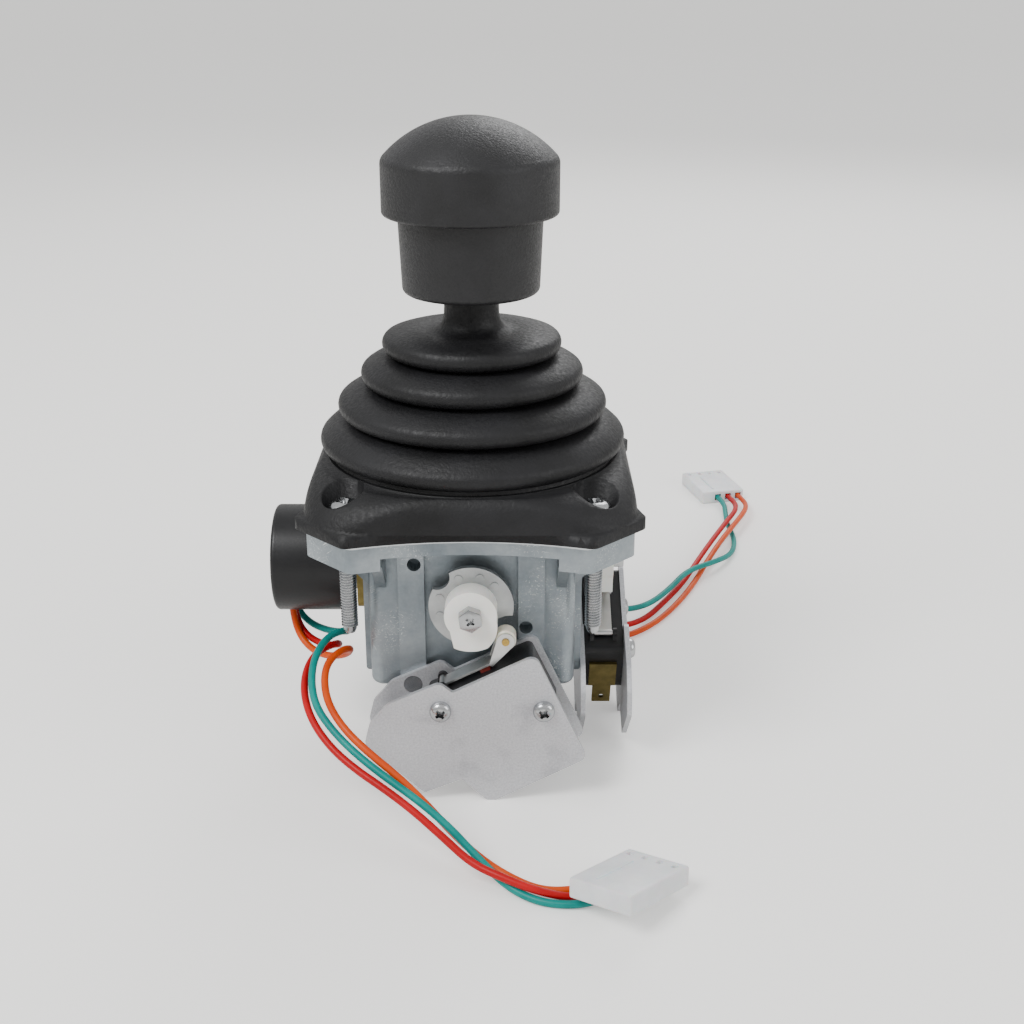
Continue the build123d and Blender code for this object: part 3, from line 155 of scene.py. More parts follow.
LEFT_ORANGE = [
    (-47.05, -2.4, -29.25), (-47.05, -2.4, -35.6), (-44.3, -5.5, -41.2),
    (-38.6, -10.7, -42.6), (-32.1, -15.1, -40.0), (-30.0, -19.5, -35.7), (-32.1, -24.6, -33.7),
    (-34.6, -30.6, -33.8), (-34.9, -36.6, -35.6), (-33.2, -43.2, -38.2), (-29.0, -49.3, -41.3),
    (-23.1, -53.9, -44.7), (-16.3, -57.2, -48.9), (-9.7, -61.2, -53.6), (-3.4, -65.7, -58.7),
    (3.2, -69.6, -62.9), (9.6, -73.4, -64.9), (15.9, -76.3, -65.9), (22.4, -76.5, -65.9),
    (28.4, -74.2, -65.7), (34.2, -71.3, -64.7),
]
REAR_TEAL = [
    (2.4, 47.05, -29.25), (2.4, 47.05, -34.5), (5.0, 47.2, -40.0), (11.6, 47.0, -45.6),
    (21.0, 46.8, -50.8), (32.0, 47.6, -55.6), (43.4, 51.6, -59.6), (52.0, 61.6, -62.4),
    (59.6, 73.6, -62.6), (66.4, 86.4, -62.0), (77.2, 96.4, -63.2), (84.6, 108.4, -65.6),
    (87.4, 121.6, -65.8), (86.4, 134.6, -65.3), (87.2, 144.2, -64.9), (87.93, 153.2, -64.5),
    (86.01, 160.91, -64.5),
]
REAR_RED = [
    (0.0, 47.05, -29.25), (0.0, 47.05, -34.8), (3.0, 46.8, -41.8), (10.6, 46.2, -48.4),
    (20.6, 45.4, -54.4), (31.6, 45.2, -59.4), (42.0, 47.6, -63.2), (50.4, 57.2, -65.4),
    (57.6, 70.6, -65.8), (65.2, 84.8, -65.6), (71.6, 99.2, -64.0), (78.4, 114.2, -62.9),
    (84.8, 128.8, -62.7), (89.8, 139.6, -62.6), (91.4, 147.4, -63.6), (91.77, 154.16, -64.5),
    (89.85, 161.87, -64.5),
]
REAR_ORANGE = [
    (-2.4, 47.05, -29.25), (-2.4, 47.05, -35.4), (0.4, 46.0, -43.6), (8.4, 44.4, -51.8),
    (18.8, 42.6, -58.2), (30.4, 42.2, -62.8), (41.8, 44.2, -65.4), (52.4, 54.0, -65.8),
    (61.4, 68.4, -65.6), (68.6, 84.2, -65.6), (74.8, 99.4, -64.4), (81.2, 113.6, -63.0),
    (87.8, 127.6, -62.7), (93.2, 139.4, -62.6), (95.2, 147.6, -63.6), (95.61, 155.12, -64.5),
    (93.69, 162.83, -64.5),
]
ROUTES = {
    "left_lead_teal": LEFT_TEAL, "left_lead_red": LEFT_RED, "left_lead_orange": LEFT_ORANGE,
    "rear_lead_teal": REAR_TEAL, "rear_lead_red": REAR_RED, "rear_lead_orange": REAR_ORANGE,
}

# Solids by finish
FINISHES = {
    "knob_plastic": ["knob_cap", "knob_grip"],
    "plated_steel": ["mounting_plate"],
    "zinc_casting": ["housing"],
    "screw_steel": ["plate_screws", "left_pot_nut", "rear_pot_nut"],
    "linkage_steel": ["handle_shaft", "pivot_block", "cross_pin", "yoke", "bail"],
    "bush_bronze": ["shaft_bushes"],
    "insert_brass": ["grip_insert", "front_roller_pin", "right_roller_pin"],
    "cam_acetal": ["front_cam", "right_cam"],
    "disc_zinc": ["front_cam_disc", "right_cam_disc"],
    "switch_plate_aluminium": ["front_switch_inner_plate", "front_switch_outer_plate",
                               "right_switch_inner_plate", "right_switch_outer_plate"],
    "switch_plastic": ["front_switch_body", "right_switch_body"],
    "plunger_plastic": ["front_switch_plunger", "right_switch_plunger"],
    "terminal_brass": ["front_switch_terminals", "right_switch_terminals",
                       "left_pot_plate", "rear_pot_plate"],
    "lever_steel": ["front_roller_lever", "right_roller_lever"],
    "roller_nylon": ["front_roller", "right_roller"],
    "spring_steel": ["left_spring", "rear_spring"],
    "pot_plastic": ["left_pot_cover", "rear_pot_cover", "left_pot_body", "rear_pot_body",
                    "left_pot_rotor", "rear_pot_rotor"],
}
# Solids that a piece of the scene stands in for
REPLACED = {"boot", "mounting_screws", "left_plug", "rear_plug", "front_switch_screws",
            "right_switch_screws", "front_cam_screw", "right_cam_screw", "left_pot_screws",
            "rear_pot_screws", *ROUTES}


class JoystickSizes(bpy.types.PropertyGroup):
    """Sizes of the pieces that the scene adds."""
    fold_swell: bpy.props.FloatProperty(
        name="Fold swell", description="How far a fold's upper side stands proud",
        default=0.8 * MM, subtype="DISTANCE", unit="LENGTH")
    boot_wall: bpy.props.FloatProperty(
        name="Boot wall", description="Thickness of the bellows' rubber",
        default=1.3 * MM, subtype="DISTANCE", unit="LENGTH")
    thread_pitch: bpy.props.FloatProperty(
        name="Thread pitch", description="Pitch of the long screws' thread",
        default=0.7 * MM, subtype="DISTANCE", unit="LENGTH")
    recess_depth: bpy.props.FloatProperty(
        name="Recess depth", description="Depth of a cross recess as a share of its head's radius",
        default=0.55, subtype="FACTOR")
    lead_thickness: bpy.props.FloatProperty(
        name="Lead thickness", description="Diameter of an insulated lead",
        default=1.8 * MM, subtype="DISTANCE", unit="LENGTH")


class JoystickColours(bpy.types.PropertyGroup):
    """Colours of the room round the object, as sRGB values."""
    floor: bpy.props.StringProperty(
        name="Floor", description="Colour of the floor and backdrop", default="f2f1ee")


def linear(hex_colour):
    """Linear colour of an sRGB hex value."""
    channels = [int(hex_colour[i:i + 2], 16) / 255 for i in (0, 2, 4)]
    return [c / 12.92 if c <= 0.04045 else ((c + 0.055) / 1.055) ** 2.4 for c in channels] + [1.0]


def add(tree, kind, values=None, links=None, **settings):
    """Add a node with its settings, socket values and incoming links."""
    node = tree.nodes.new(kind)
    for name, value in settings.items():
        setattr(node, name, value)
    for socket, value in (values or {}).items():
        node.inputs[socket].default_value = value
    for socket, source in (links or {}).items():
        tree.links.new(source, node.inputs[socket])
    return node


def surface(name, tones, tone_mm, grain_mm, grain_depth_mm, rough, metallic=0.0, draw=(1, 1, 1),
            detail=3.0, **sockets):
    """Material with two tones in soft patches, and a grain that roughens and raises it.
    draw stretches the grain along an axis, as brushing and rolling do. A grain finer than
    about 0.2 mm doesn't show from where the camera stands, so it is drawn that coarse."""
    material = bpy.data.materials.new(name)
    material.use_nodes = True
    tree = material.node_tree
    tree.nodes.clear()
    place = add(tree, "ShaderNodeTexCoord").outputs["Object"]
    patches = add(tree, "ShaderNodeTexNoise",
                  {"Scale": 1000 / tone_mm, "Detail": 3.0, "Roughness": 0.55}, {"Vector": place})
    spread = add(tree, "ShaderNodeMapRange", {"From Min": 0.34, "From Max": 0.66},
                 {"Value": patches.outputs["Fac"]})
    colour = add(tree, "ShaderNodeMix", {"A": linear(tones[0]), "B": linear(tones[1])},
                 {"Factor": spread.outputs["Result"]}, data_type="RGBA")
    drawn = add(tree, "ShaderNodeMapping", {"Scale": draw}, {"Vector": place})
    grain = add(tree, "ShaderNodeTexNoise",
                {"Scale": 1000 / grain_mm, "Detail": detail, "Roughness": 0.6},
                {"Vector": drawn.outputs["Vector"]})
    gloss = add(tree, "ShaderNodeMapRange",
                {"From Min": 0.3, "From Max": 0.7, "To Min": rough[0], "To Max": rough[1]},
                {"Value": grain.outputs["Fac"]})
    relief = add(tree, "ShaderNodeBump", {"Strength": 1.0, "Distance": grain_depth_mm * MM},
                 {"Height": grain.outputs["Fac"]})
    shader = add(tree, "ShaderNodeBsdfPrincipled", {"Metallic": metallic, **sockets},
                 {"Base Color": colour.outputs["Result"], "Roughness": gloss.outputs["Result"],
                  "Normal": relief.outputs["Normal"]})
    add(tree, "ShaderNodeOutputMaterial", links={"Surface": shader.outputs["BSDF"]})
    return material


def make_finishes():
    """Every finish on the joystick, by the slot that it fills."""
    return {
        # Moulded ABS with a spark-eroded skin: near black, with a fine sparkle in the highlights
        "knob_plastic": surface("moulded_abs_fine_grain", ("151516", "1f1f21"), 14, 0.6, 0.16,
                                (0.32, 0.6), detail=4.0, IOR=1.53,
                                **{"Specular IOR Level": 0.34}),
        # Moulded rubber: black with a dusty grey bloom and a soft sheen
        "boot_rubber": surface("moulded_nitrile_rubber", ("0f0f10", "1c1c1e"), 16, 0.9, 0.14,
                               (0.42, 0.62), IOR=1.5, **{"Specular IOR Level": 0.3}),
        # Zinc-plated rolled steel: cool and lightly streaked
        "plated_steel": surface("zinc_plated_steel_sheet", ("c2c6c9", "d2d5d7"), 10, 0.5, 0.01,
                                (0.28, 0.42), metallic=1.0, draw=(0.2, 1, 1)),
        # Die-cast zinc, satin: blue-grey, with flow marks and fine file scratches
        "zinc_casting": make_casting(),
        # Bright zinc-plated screw steel: sharp, pale highlights
        "screw_steel": surface("bright_plated_screw_steel", ("a6a8aa", "b8b9ba"), 3, 0.25, 0.006,
                               (0.16, 0.28), metallic=1.0),
        # Ground carbon steel: grey, with fine marks round the work
        "linkage_steel": surface("ground_steel", ("9da0a2", "b2b4b6"), 8, 0.3, 0.01,
                                 (0.25, 0.4), metallic=1.0, draw=(1, 1, 0.15)),
        # Sintered bronze: brown and slightly porous
        "bush_bronze": surface("sintered_bronze", ("977144", "aa8350"), 3, 0.25, 0.03,
                               (0.38, 0.52), metallic=1.0),
        # Turned brass: warm, with fine rings
        "insert_brass": surface("turned_brass", ("b2934f", "c4a662"), 3, 0.2, 0.008,
                                (0.22, 0.34), metallic=1.0),
        # Moulded acetal: cream white and slightly waxy
        "cam_acetal": surface("moulded_acetal", ("ecebe4", "f4f3ee"), 6, 0.6, 0.012,
                              (0.34, 0.44), IOR=1.48, **{"Subsurface Weight": 0.15,
                                                         "Subsurface Scale": 1.0 * MM}),
        # Die-cast zinc disc, tumbled: mid grey and matt, darker than the cam
        "disc_zinc": surface("tumbled_zinc_disc", ("a5a7a8", "b6b8b8"), 5, 0.35, 0.02,
                             (0.36, 0.48), metallic=0.85),
        # Chromated aluminium sheet: pale and matt, with a fine rolled texture
        "switch_plate_aluminium": make_sheet(),
        # Moulded phenolic case: black with a dull shine
        "switch_plastic": surface("moulded_phenolic", ("111113", "19191b"), 7, 0.4, 0.02,
                                  (0.3, 0.44), IOR=1.55, **{"Specular IOR Level": 0.34}),
        # Moulded plunger: brick red
        "plunger_plastic": surface("moulded_red_plunger", ("762820", "84332a"), 2, 0.3, 0.01,
                                   (0.36, 0.46), IOR=1.5),
        # Rolled brass strip, dulled by air: olive brown
        "terminal_brass": surface("dulled_brass_strip", ("75693f", "8b7c4b"), 3, 0.3, 0.012,
                                  (0.3, 0.46), metallic=1.0, draw=(1, 1, 0.2)),
        # Stainless spring strip: bright and fine
        "lever_steel": surface("stainless_strip", ("c8c8c6", "dadad8"), 5, 0.25, 0.002,
                               (0.3, 0.4), metallic=1.0, draw=(0.2, 1, 1)),
        # Moulded nylon: warm off-white
        "roller_nylon": surface("moulded_nylon_roller", ("d2cebe", "dcd8ca"), 3, 0.4, 0.01,
                                (0.36, 0.48), IOR=1.53, **{"Subsurface Weight": 0.15,
                                                           "Subsurface Scale": 0.8 * MM}),
        # Oiled spring wire: dark grey with a line of light
        "spring_steel": surface("oiled_spring_wire", ("86888a", "989a9c"), 3, 0.2, 0.006,
                                (0.22, 0.34), metallic=1.0),
        # Moulded thermoset cover: deep black, smoother than the knob
        "pot_plastic": surface("moulded_thermoset", ("0e0e10", "161618"), 9, 0.5, 0.02,
                               (0.3, 0.46), IOR=1.55, **{"Specular IOR Level": 0.32}),
        # Extruded PVC insulation: strong colour, a soft shine along the wire
        "lead_teal": surface("pvc_teal", ("007872", "068a82"), 9, 0.5, 0.01, (0.32, 0.44), IOR=1.53,
                             **{"Specular IOR Level": 0.2}),
        "lead_red": surface("pvc_red", ("a8060e", "b90d15"), 9, 0.5, 0.01, (0.32, 0.44), IOR=1.53,
                            **{"Specular IOR Level": 0.2}),
        "lead_orange": surface("pvc_orange", ("c23f06", "d14e0d"), 9, 0.5, 0.01,
                               (0.32, 0.44), IOR=1.53, **{"Specular IOR Level": 0.2}),
        # Moulded natural nylon: milky white, with light in its edges
        "plug_nylon": surface("natural_nylon", ("e2e4e7", "eceef0"), 5, 0.8, 0.02, (0.28, 0.4),
                              IOR=1.53, **{"Subsurface Weight": 0.35,
                                           "Subsurface Scale": 1.5 * MM,
                                           "Transmission Weight": 0.08}),
    }


def make_casting():
    """Satin die casting: a pebbled skin, cloudy tone, and crossed scratches from a file,
    drawn coarser than they are so that they show."""
    material = bpy.data.materials.new("satin_zinc_die_casting")
    material.use_nodes = True
    tree = material.node_tree
    tree.nodes.clear()
    place = add(tree, "ShaderNodeTexCoord").outputs["Object"]
    clouds = add(tree, "ShaderNodeTexNoise", {"Scale": 1000 / 16, "Detail": 5.0, "Roughness": 0.6},
                 {"Vector": place})
    spread = add(tree, "ShaderNodeMapRange", {"From Min": 0.32, "From Max": 0.68},
                 {"Value": clouds.outputs["Fac"]})
    tone = add(tree, "ShaderNodeMix", {"A": linear("788187"), "B": linear("a2a9ad")},
               {"Factor": spread.outputs["Result"]}, data_type="RGBA")
    skin = add(tree, "ShaderNodeTexNoise", {"Scale": 1000 / 0.7, "Detail": 3.0}, {"Vector": place})
    strokes = []
    for lean, spacing in [(0.5, 0.3), (-0.7, 0.36), (1.25, 0.33)]:
        leaning = add(tree, "ShaderNodeVectorRotate", {"Angle": lean}, {"Vector": place},
                      rotation_type="X_AXIS")
        leaning = add(tree, "ShaderNodeVectorRotate", {"Angle": lean},
                      {"Vector": leaning.outputs["Vector"]}, rotation_type="Y_AXIS")
        drawn = add(tree, "ShaderNodeMapping", {"Scale": (1.0, 1.0, 0.035)},
                    {"Vector": leaning.outputs["Vector"]})
        marks = add(tree, "ShaderNodeTexNoise", {"Scale": 1000 / spacing, "Detail": 2.0},
                    {"Vector": drawn.outputs["Vector"]})
        strokes.append(add(tree, "ShaderNodeMapRange", {"From Min": 0.64, "From Max": 0.76},
                           {"Value": marks.outputs["Fac"]}))
    pair = add(tree, "ShaderNodeMath", links={0: strokes[0].outputs["Result"],
                                              1: strokes[1].outputs["Result"]},
               operation="MAXIMUM")
    fine = add(tree, "ShaderNodeMath", links={0: pair.outputs["Value"],
                                              1: strokes[2].outputs["Result"]},
               operation="MAXIMUM")
    where = add(tree, "ShaderNodeTexNoise", {"Scale": 1000 / 13, "Detail": 1.0}, {"Vector": place})
    filed = add(tree, "ShaderNodeMapRange", {"From Min": 0.5, "From Max": 0.62},
                {"Value": where.outputs["Fac"]})
    scratch = add(tree, "ShaderNodeMath", links={0: fine.outputs["Value"],
                                                 1: filed.outputs["Result"]}, operation="MULTIPLY")
    colour = add(tree, "ShaderNodeMix", {"B": linear("dadedf")},
                 {"Factor": scratch.outputs["Value"], "A": tone.outputs["Result"]},
                 data_type="RGBA")
    height = add(tree, "ShaderNodeMath", links={0: scratch.outputs["Value"],
                                                1: skin.outputs["Fac"]}, operation="SUBTRACT")
    relief = add(tree, "ShaderNodeBump", {"Strength": 1.0, "Distance": 0.035 * MM},
                 {"Height": height.outputs["Value"]})
    gloss = add(tree, "ShaderNodeMapRange",
                {"From Min": 0.3, "From Max": 0.7, "To Min": 0.38, "To Max": 0.54},
                {"Value": skin.outputs["Fac"]})
    shader = add(tree, "ShaderNodeBsdfPrincipled", {"Metallic": 0.8},
                 {"Base Color": colour.outputs["Result"], "Roughness": gloss.outputs["Result"],
                  "Normal": relief.outputs["Normal"]})
    add(tree, "ShaderNodeOutputMaterial", links={"Surface": shader.outputs["BSDF"]})
    return material


def make_sheet():
    """Matt sheet: tiny pits from rolling, with darker smudges from handling."""
    material = bpy.data.materials.new("chromated_aluminium_sheet")
    material.use_nodes = True
    tree = material.node_tree
    tree.nodes.clear()
    place = add(tree, "ShaderNodeTexCoord").outputs["Object"]
    smudge = add(tree, "ShaderNodeTexNoise", {"Scale": 1000 / 11, "Detail": 4.0}, {"Vector": place})
    spread = add(tree, "ShaderNodeMapRange", {"From Min": 0.6, "From Max": 0.85},
                 {"Value": smudge.outputs["Fac"]})
    pits = add(tree, "ShaderNodeTexNoise", {"Scale": 1000 / 0.5, "Detail": 3.0, "Roughness": 0.7},
               {"Vector": place})
    speck = add(tree, "ShaderNodeMapRange",
                {"From Min": 0.3, "From Max": 0.7, "To Min": 0.0, "To Max": 0.8},
                {"Value": pits.outputs["Fac"]})
    both = add(tree, "ShaderNodeMath", links={0: spread.outputs["Result"],
                                              1: speck.outputs["Result"]},
               operation="ADD", use_clamp=True)
    colour = add(tree, "ShaderNodeMix", {"A": linear("d2d3d6"), "B": linear("b0b1b6")},
                 {"Factor": both.outputs["Value"]}, data_type="RGBA")
    relief = add(tree, "ShaderNodeBump", {"Strength": 1.0, "Distance": 0.045 * MM},
                 {"Height": pits.outputs["Fac"]})
    gloss = add(tree, "ShaderNodeMapRange",
                {"From Min": 0.3, "From Max": 0.7, "To Min": 0.42, "To Max": 0.58},
                {"Value": pits.outputs["Fac"]})
    shader = add(tree, "ShaderNodeBsdfPrincipled", {"Metallic": 0.7},
                 {"Base Color": colour.outputs["Result"], "Roughness": gloss.outputs["Result"],
                  "Normal": relief.outputs["Normal"]})
    add(tree, "ShaderNodeOutputMaterial", links={"Surface": shader.outputs["BSDF"]})
    return material


MATERIALS = make_finishes()


def fresh_start():
    """Leave edit mode and deselect everything."""
    if bpy.context.object and bpy.context.object.mode != "OBJECT":
        bpy.ops.object.mode_set(mode="OBJECT")
    bpy.ops.object.select_all(action="DESELECT")


def only(piece):
    """Make one piece the selected and active one."""
    fresh_start()
    piece.select_set(True)
    bpy.context.view_layer.objects.active = piece


def wall(out, turn=0, x=0.0, z=0.0, tilt=0.0):
    """Place on a wall of the housing, in millimetres: local Z points out of the wall, local X
    runs to the right as seen from outside. Turn 0 is the front and 90 the right."""
    a, b = math.radians(turn), math.radians(tilt)
    right, outward = Vector((math.cos(a), math.sin(a), 0)), Vector((math.sin(a), -math.cos(a), 0))
    up = Vector((0, 0, 1))
    origin = (outward * out + right * x + up * z) * MM
    across = right * math.cos(b) + up * math.sin(b)
    axes = Matrix((across, outward.cross(across), outward)).transposed().to_4x4()
    return Matrix.Translation(origin) @ axes


def switch_place(turn, out, along, up):
    """Place on a tilted switch stack, along it and above its middle."""
    c, s = math.cos(math.radians(SWITCH_TILT)), math.sin(math.radians(SWITCH_TILT))
    x, z = SWITCH_AT
    return wall(out, turn, x + along * c - up * s, z + along * s + up * c, SWITCH_TILT)


def place_piece(piece, matrix):
    """Put a piece, modelled round the origin, at its place, and leave its object at the origin."""
    only(piece)
    piece.matrix_world = matrix
    bpy.ops.object.transform_apply(location=True, rotation=True, scale=True)


def use(piece, kind):
    """Apply a modifier that was just added."""
    only(piece)
    bpy.ops.object.modifier_apply(modifier=kind.name)


def tidy_mesh(piece, angle=35.0):
    """Merge doubles, point the faces outwards, and shade smooth up to an angle."""
    only(piece)
    bpy.ops.object.mode_set(mode="EDIT")
    bpy.ops.mesh.select_all(action="SELECT")
    bpy.ops.mesh.remove_doubles(threshold=0.002 * MM)
    bpy.ops.mesh.normals_make_consistent(inside=False)
    bpy.ops.object.mode_set(mode="OBJECT")
    bpy.ops.object.shade_smooth_by_angle(angle=math.radians(angle))


def finish_piece(piece, name, slot, angle=35.0):
    """Name a piece, give it its finish and tidy it."""
    piece.name = name
    piece.data.name = name
    piece.data.materials.clear()
    piece.data.materials.append(MATERIALS[slot])
    tidy_mesh(piece, angle)
    return piece


def profile_line(points):
    """New mesh of one line through points of radius and height, in millimetres."""
    fresh_start()
    bpy.ops.mesh.primitive_plane_add(size=MM)
    line = bpy.context.object
    bpy.ops.object.mode_set(mode="EDIT")
    bpy.ops.mesh.select_all(action="SELECT")
    bpy.ops.mesh.merge(type="CENTER")
    radius, height = points[0]
    bpy.ops.transform.translate(value=(radius * MM, 0, height * MM))
    for (r0, z0), (r1, z1) in zip(points, points[1:]):
        step = ((r1 - r0) * MM, 0, (z1 - z0) * MM)
        bpy.ops.mesh.extrude_region_move(TRANSFORM_OT_translate={"value": step})
    bpy.ops.mesh.select_all(action="SELECT")
    return line


def turned(points, steps=48):
    """Turn a profile of radius and height about Z, as on a lathe."""
    piece = profile_line(points)
    bpy.ops.mesh.spin(steps=steps, angle=math.tau, center=(0, 0, 0), axis=(0, 0, 1))
    bpy.ops.mesh.select_all(action="SELECT")
    bpy.ops.mesh.remove_doubles(threshold=0.002 * MM)
    bpy.ops.mesh.normals_make_consistent(inside=False)
    bpy.ops.object.mode_set(mode="OBJECT")
    return piece


def block(size, at, bevel=0.0):
    """Rectangular piece in millimetres, with its edges broken."""
    fresh_start()
    bpy.ops.mesh.primitive_cube_add(size=1, location=[c * MM for c in at],
                                    scale=[c * MM for c in size])
    piece = bpy.context.object
    bpy.ops.object.transform_apply(location=True, rotation=True, scale=True)
    if bevel:
        edge = piece.modifiers.new("edges", "BEVEL")
        edge.width = bevel * MM
        edge.segments = 3
        use(piece, edge)
    return piece


def cut(piece, cutter):
    """Cut one piece with another, which is then removed."""
    hollow = piece.modifiers.new("cut", "BOOLEAN")
    hollow.operation = "DIFFERENCE"
    hollow.object = cutter
    hollow.solver = "EXACT"
    use(piece, hollow)
    bpy.data.objects.remove(cutter)


def join(pieces):
    """Join pieces into the first one."""
    only(pieces[0])
    for piece in pieces:
        piece.select_set(True)
    bpy.ops.object.join()
    return pieces[0]


def cross_recess(head, radius, top, depth, turn=0.0):
    """Sink a cross recess with sloping walls into a screw's head."""
    for quarter in (0.0, 90.0):
        arm = block((1.36 * radius, 0.33 * radius, depth * 2), (0, 0, top))
        only(arm)
        bpy.ops.object.mode_set(mode="EDIT")
        bpy.ops.mesh.select_all(action="DESELECT")
        bpy.ops.object.mode_set(mode="OBJECT")
        for face in arm.data.polygons:
            face.select = face.normal.z < -0.9
        bpy.ops.object.mode_set(mode="EDIT")
        bpy.ops.transform.resize(value=(0.5, 0.7, 1), center_override=(0, 0, (top - depth) * MM))
        bpy.ops.object.mode_set(mode="OBJECT")
        place_piece(arm, Matrix.Rotation(math.radians(quarter + turn), 4, "Z"))
        cut(head, arm)
    fresh_start()
    bpy.ops.mesh.primitive_cone_add(vertices=12, radius1=0.08 * radius * MM,
                                    radius2=0.36 * radius * MM, depth=1.1 * depth * MM,
                                    location=(0, 0, (top - 0.52 * depth) * MM))
    cone = bpy.context.object
    bpy.ops.object.transform_apply(location=True, rotation=True, scale=True)
    cut(head, cone)


def pan_screw(radius, height, shank, length, depth, turn=0.0):
    """Pan-head screw with a cross recess, head upwards, its seat at the origin."""
    shape = [(0.5, 0.965), (0.72, 0.88), (0.88, 0.72), (0.97, 0.5), (1.0, 0.28), (0.985, 0.0)]
    crown = [(across * radius, up * height) for across, up in shape]
    screw = turned([(0, height)] + crown + [(shank, 0), (shank, -length), (0, -length)], 40)
    cross_recess(screw, radius, height, depth, turn)
    return screw


class JOYSTICK_OT_stage(bpy.types.Operator):
    """Camera, floor and lamps."""
    bl_idname = "joystick.stage"
    bl_label = "Set the stage"

    def execute(self, context):
        lens = bpy.data.cameras.new("camera")
        lens.lens = LENS
        lens.sensor_width = SENSOR
        camera = bpy.data.objects.new("camera", lens)
        camera.location = CAMERA_AT
        camera.rotation_euler = (math.radians(90 - CAMERA_DOWN), 0, 0)
        context.scene.collection.objects.link(camera)
        context.scene.camera = camera

        level = TABLE - FLOOR_GAP
        arc = [math.radians(5 * step) for step in range(1, 17)]
        floor = turned([(0, level), (FLOOR_R, level)]
                       + [(FLOOR_R + COVE_R * math.sin(a), level + COVE_R * (1 - math.cos(a)))
                          for a in arc], 96)
        floor.name = "floor"
        only(floor)
        bpy.ops.object.shade_smooth()
        # Matt paper: near white with a soft tooth, and brighter to the camera alone
        colour = linear(context.scene.joystick_colours.floor)
        paper = bpy.data.materials.new("matt_paper")
        paper.use_nodes = True
        tree = paper.node_tree
        tree.nodes.clear()
        place = add(tree, "ShaderNodeTexCoord").outputs["Object"]
        tooth = add(tree, "ShaderNodeTexNoise", {"Scale": 900.0, "Detail": 2.0}, {"Vector": place})
        relief = add(tree, "ShaderNodeBump", {"Strength": 0.2, "Distance": 0.05 * MM},
                     {"Height": tooth.outputs["Fac"]})
        shader = add(tree, "ShaderNodeBsdfPrincipled", {"Base Color": colour, "Roughness": 0.9},
                     {"Normal": relief.outputs["Normal"]})
        path = add(tree, "ShaderNodeLightPath")
        lift = add(tree, "ShaderNodeMath", {1: FLOOR_LIFT}, {0: path.outputs["Is Camera Ray"]},
                   operation="MULTIPLY")
        glow = add(tree, "ShaderNodeEmission", {"Color": (1, 1, 1, 1)},
                   {"Strength": lift.outputs["Value"]})
        both = add(tree, "ShaderNodeAddShader", links={0: shader.outputs["BSDF"],
                                                       1: glow.outputs["Emission"]})
        add(tree, "ShaderNodeOutputMaterial", links={"Surface": both.outputs["Shader"]})
        floor.data.materials.append(paper)

        world = bpy.data.worlds.new("studio")
        context.scene.world = world
        world.use_nodes = True
        tree = world.node_tree
        tree.nodes.clear()
        path = add(tree, "ShaderNodeLightPath")
        seen = add(tree, "ShaderNodeMath", links={0: path.outputs["Is Camera Ray"],
                                                  1: path.outputs["Is Glossy Ray"]},
                   operation="MAXIMUM")
        strength = add(tree, "ShaderNodeMapRange", {"To Min": SKY_LIGHT, "To Max": SKY_SEEN},
                       {"Value": seen.outputs["Value"]})
        sky = add(tree, "ShaderNodeBackground", {"Color": (1, 1, 1, 1)},
                  {"Strength": strength.outputs["Result"]})
        add(tree, "ShaderNodeOutputWorld", links={"Surface": sky.outputs["Background"]})

        for name, power, size, at in LAMPS:
            lamp = bpy.data.lights.new(name, "AREA")
            lamp.energy = power
            lamp.size = size
            light = bpy.data.objects.new(name, lamp)
            light.location = at
            light.rotation_euler = (-Vector(at)).to_track_quat("-Z", "Y").to_euler()
            context.scene.collection.objects.link(light)
        return {"FINISHED"}


class JOYSTICK_OT_leads(bpy.types.Operator):
    """Six insulated leads between the potentiometers and the plugs."""
    bl_idname = "joystick.leads"
    bl_label = "Lay the leads"

    def execute(self, context):
        thickness = context.scene.joystick_sizes.lead_thickness
        for name, route in ROUTES.items():
            side, _, colour = name.split("_")
            curve = bpy.data.curves.new(f"{name}_wire", "CURVE")
            curve.dimensions = "3D"
            curve.bevel_depth = thickness / 2
            curve.bevel_resolution = 4
            curve.resolution_u = 8
            curve.use_fill_caps = True
            spline = curve.splines.new("NURBS")
            spline.points.add(len(route) - 1)
            for point, (x, y, z) in zip(spline.points, route):
                point.co = (x * MM, y * MM, z * MM, 1.0)
            spline.order_u = 3
            spline.use_endpoint_u = True
            wire = bpy.data.objects.new(f"{name}_wire", curve)
            context.scene.collection.objects.link(wire)
            curve.materials.append(MATERIALS[f"lead_{colour}"])
            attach(wire, "housing")
            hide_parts(name)
        return {"FINISHED"}


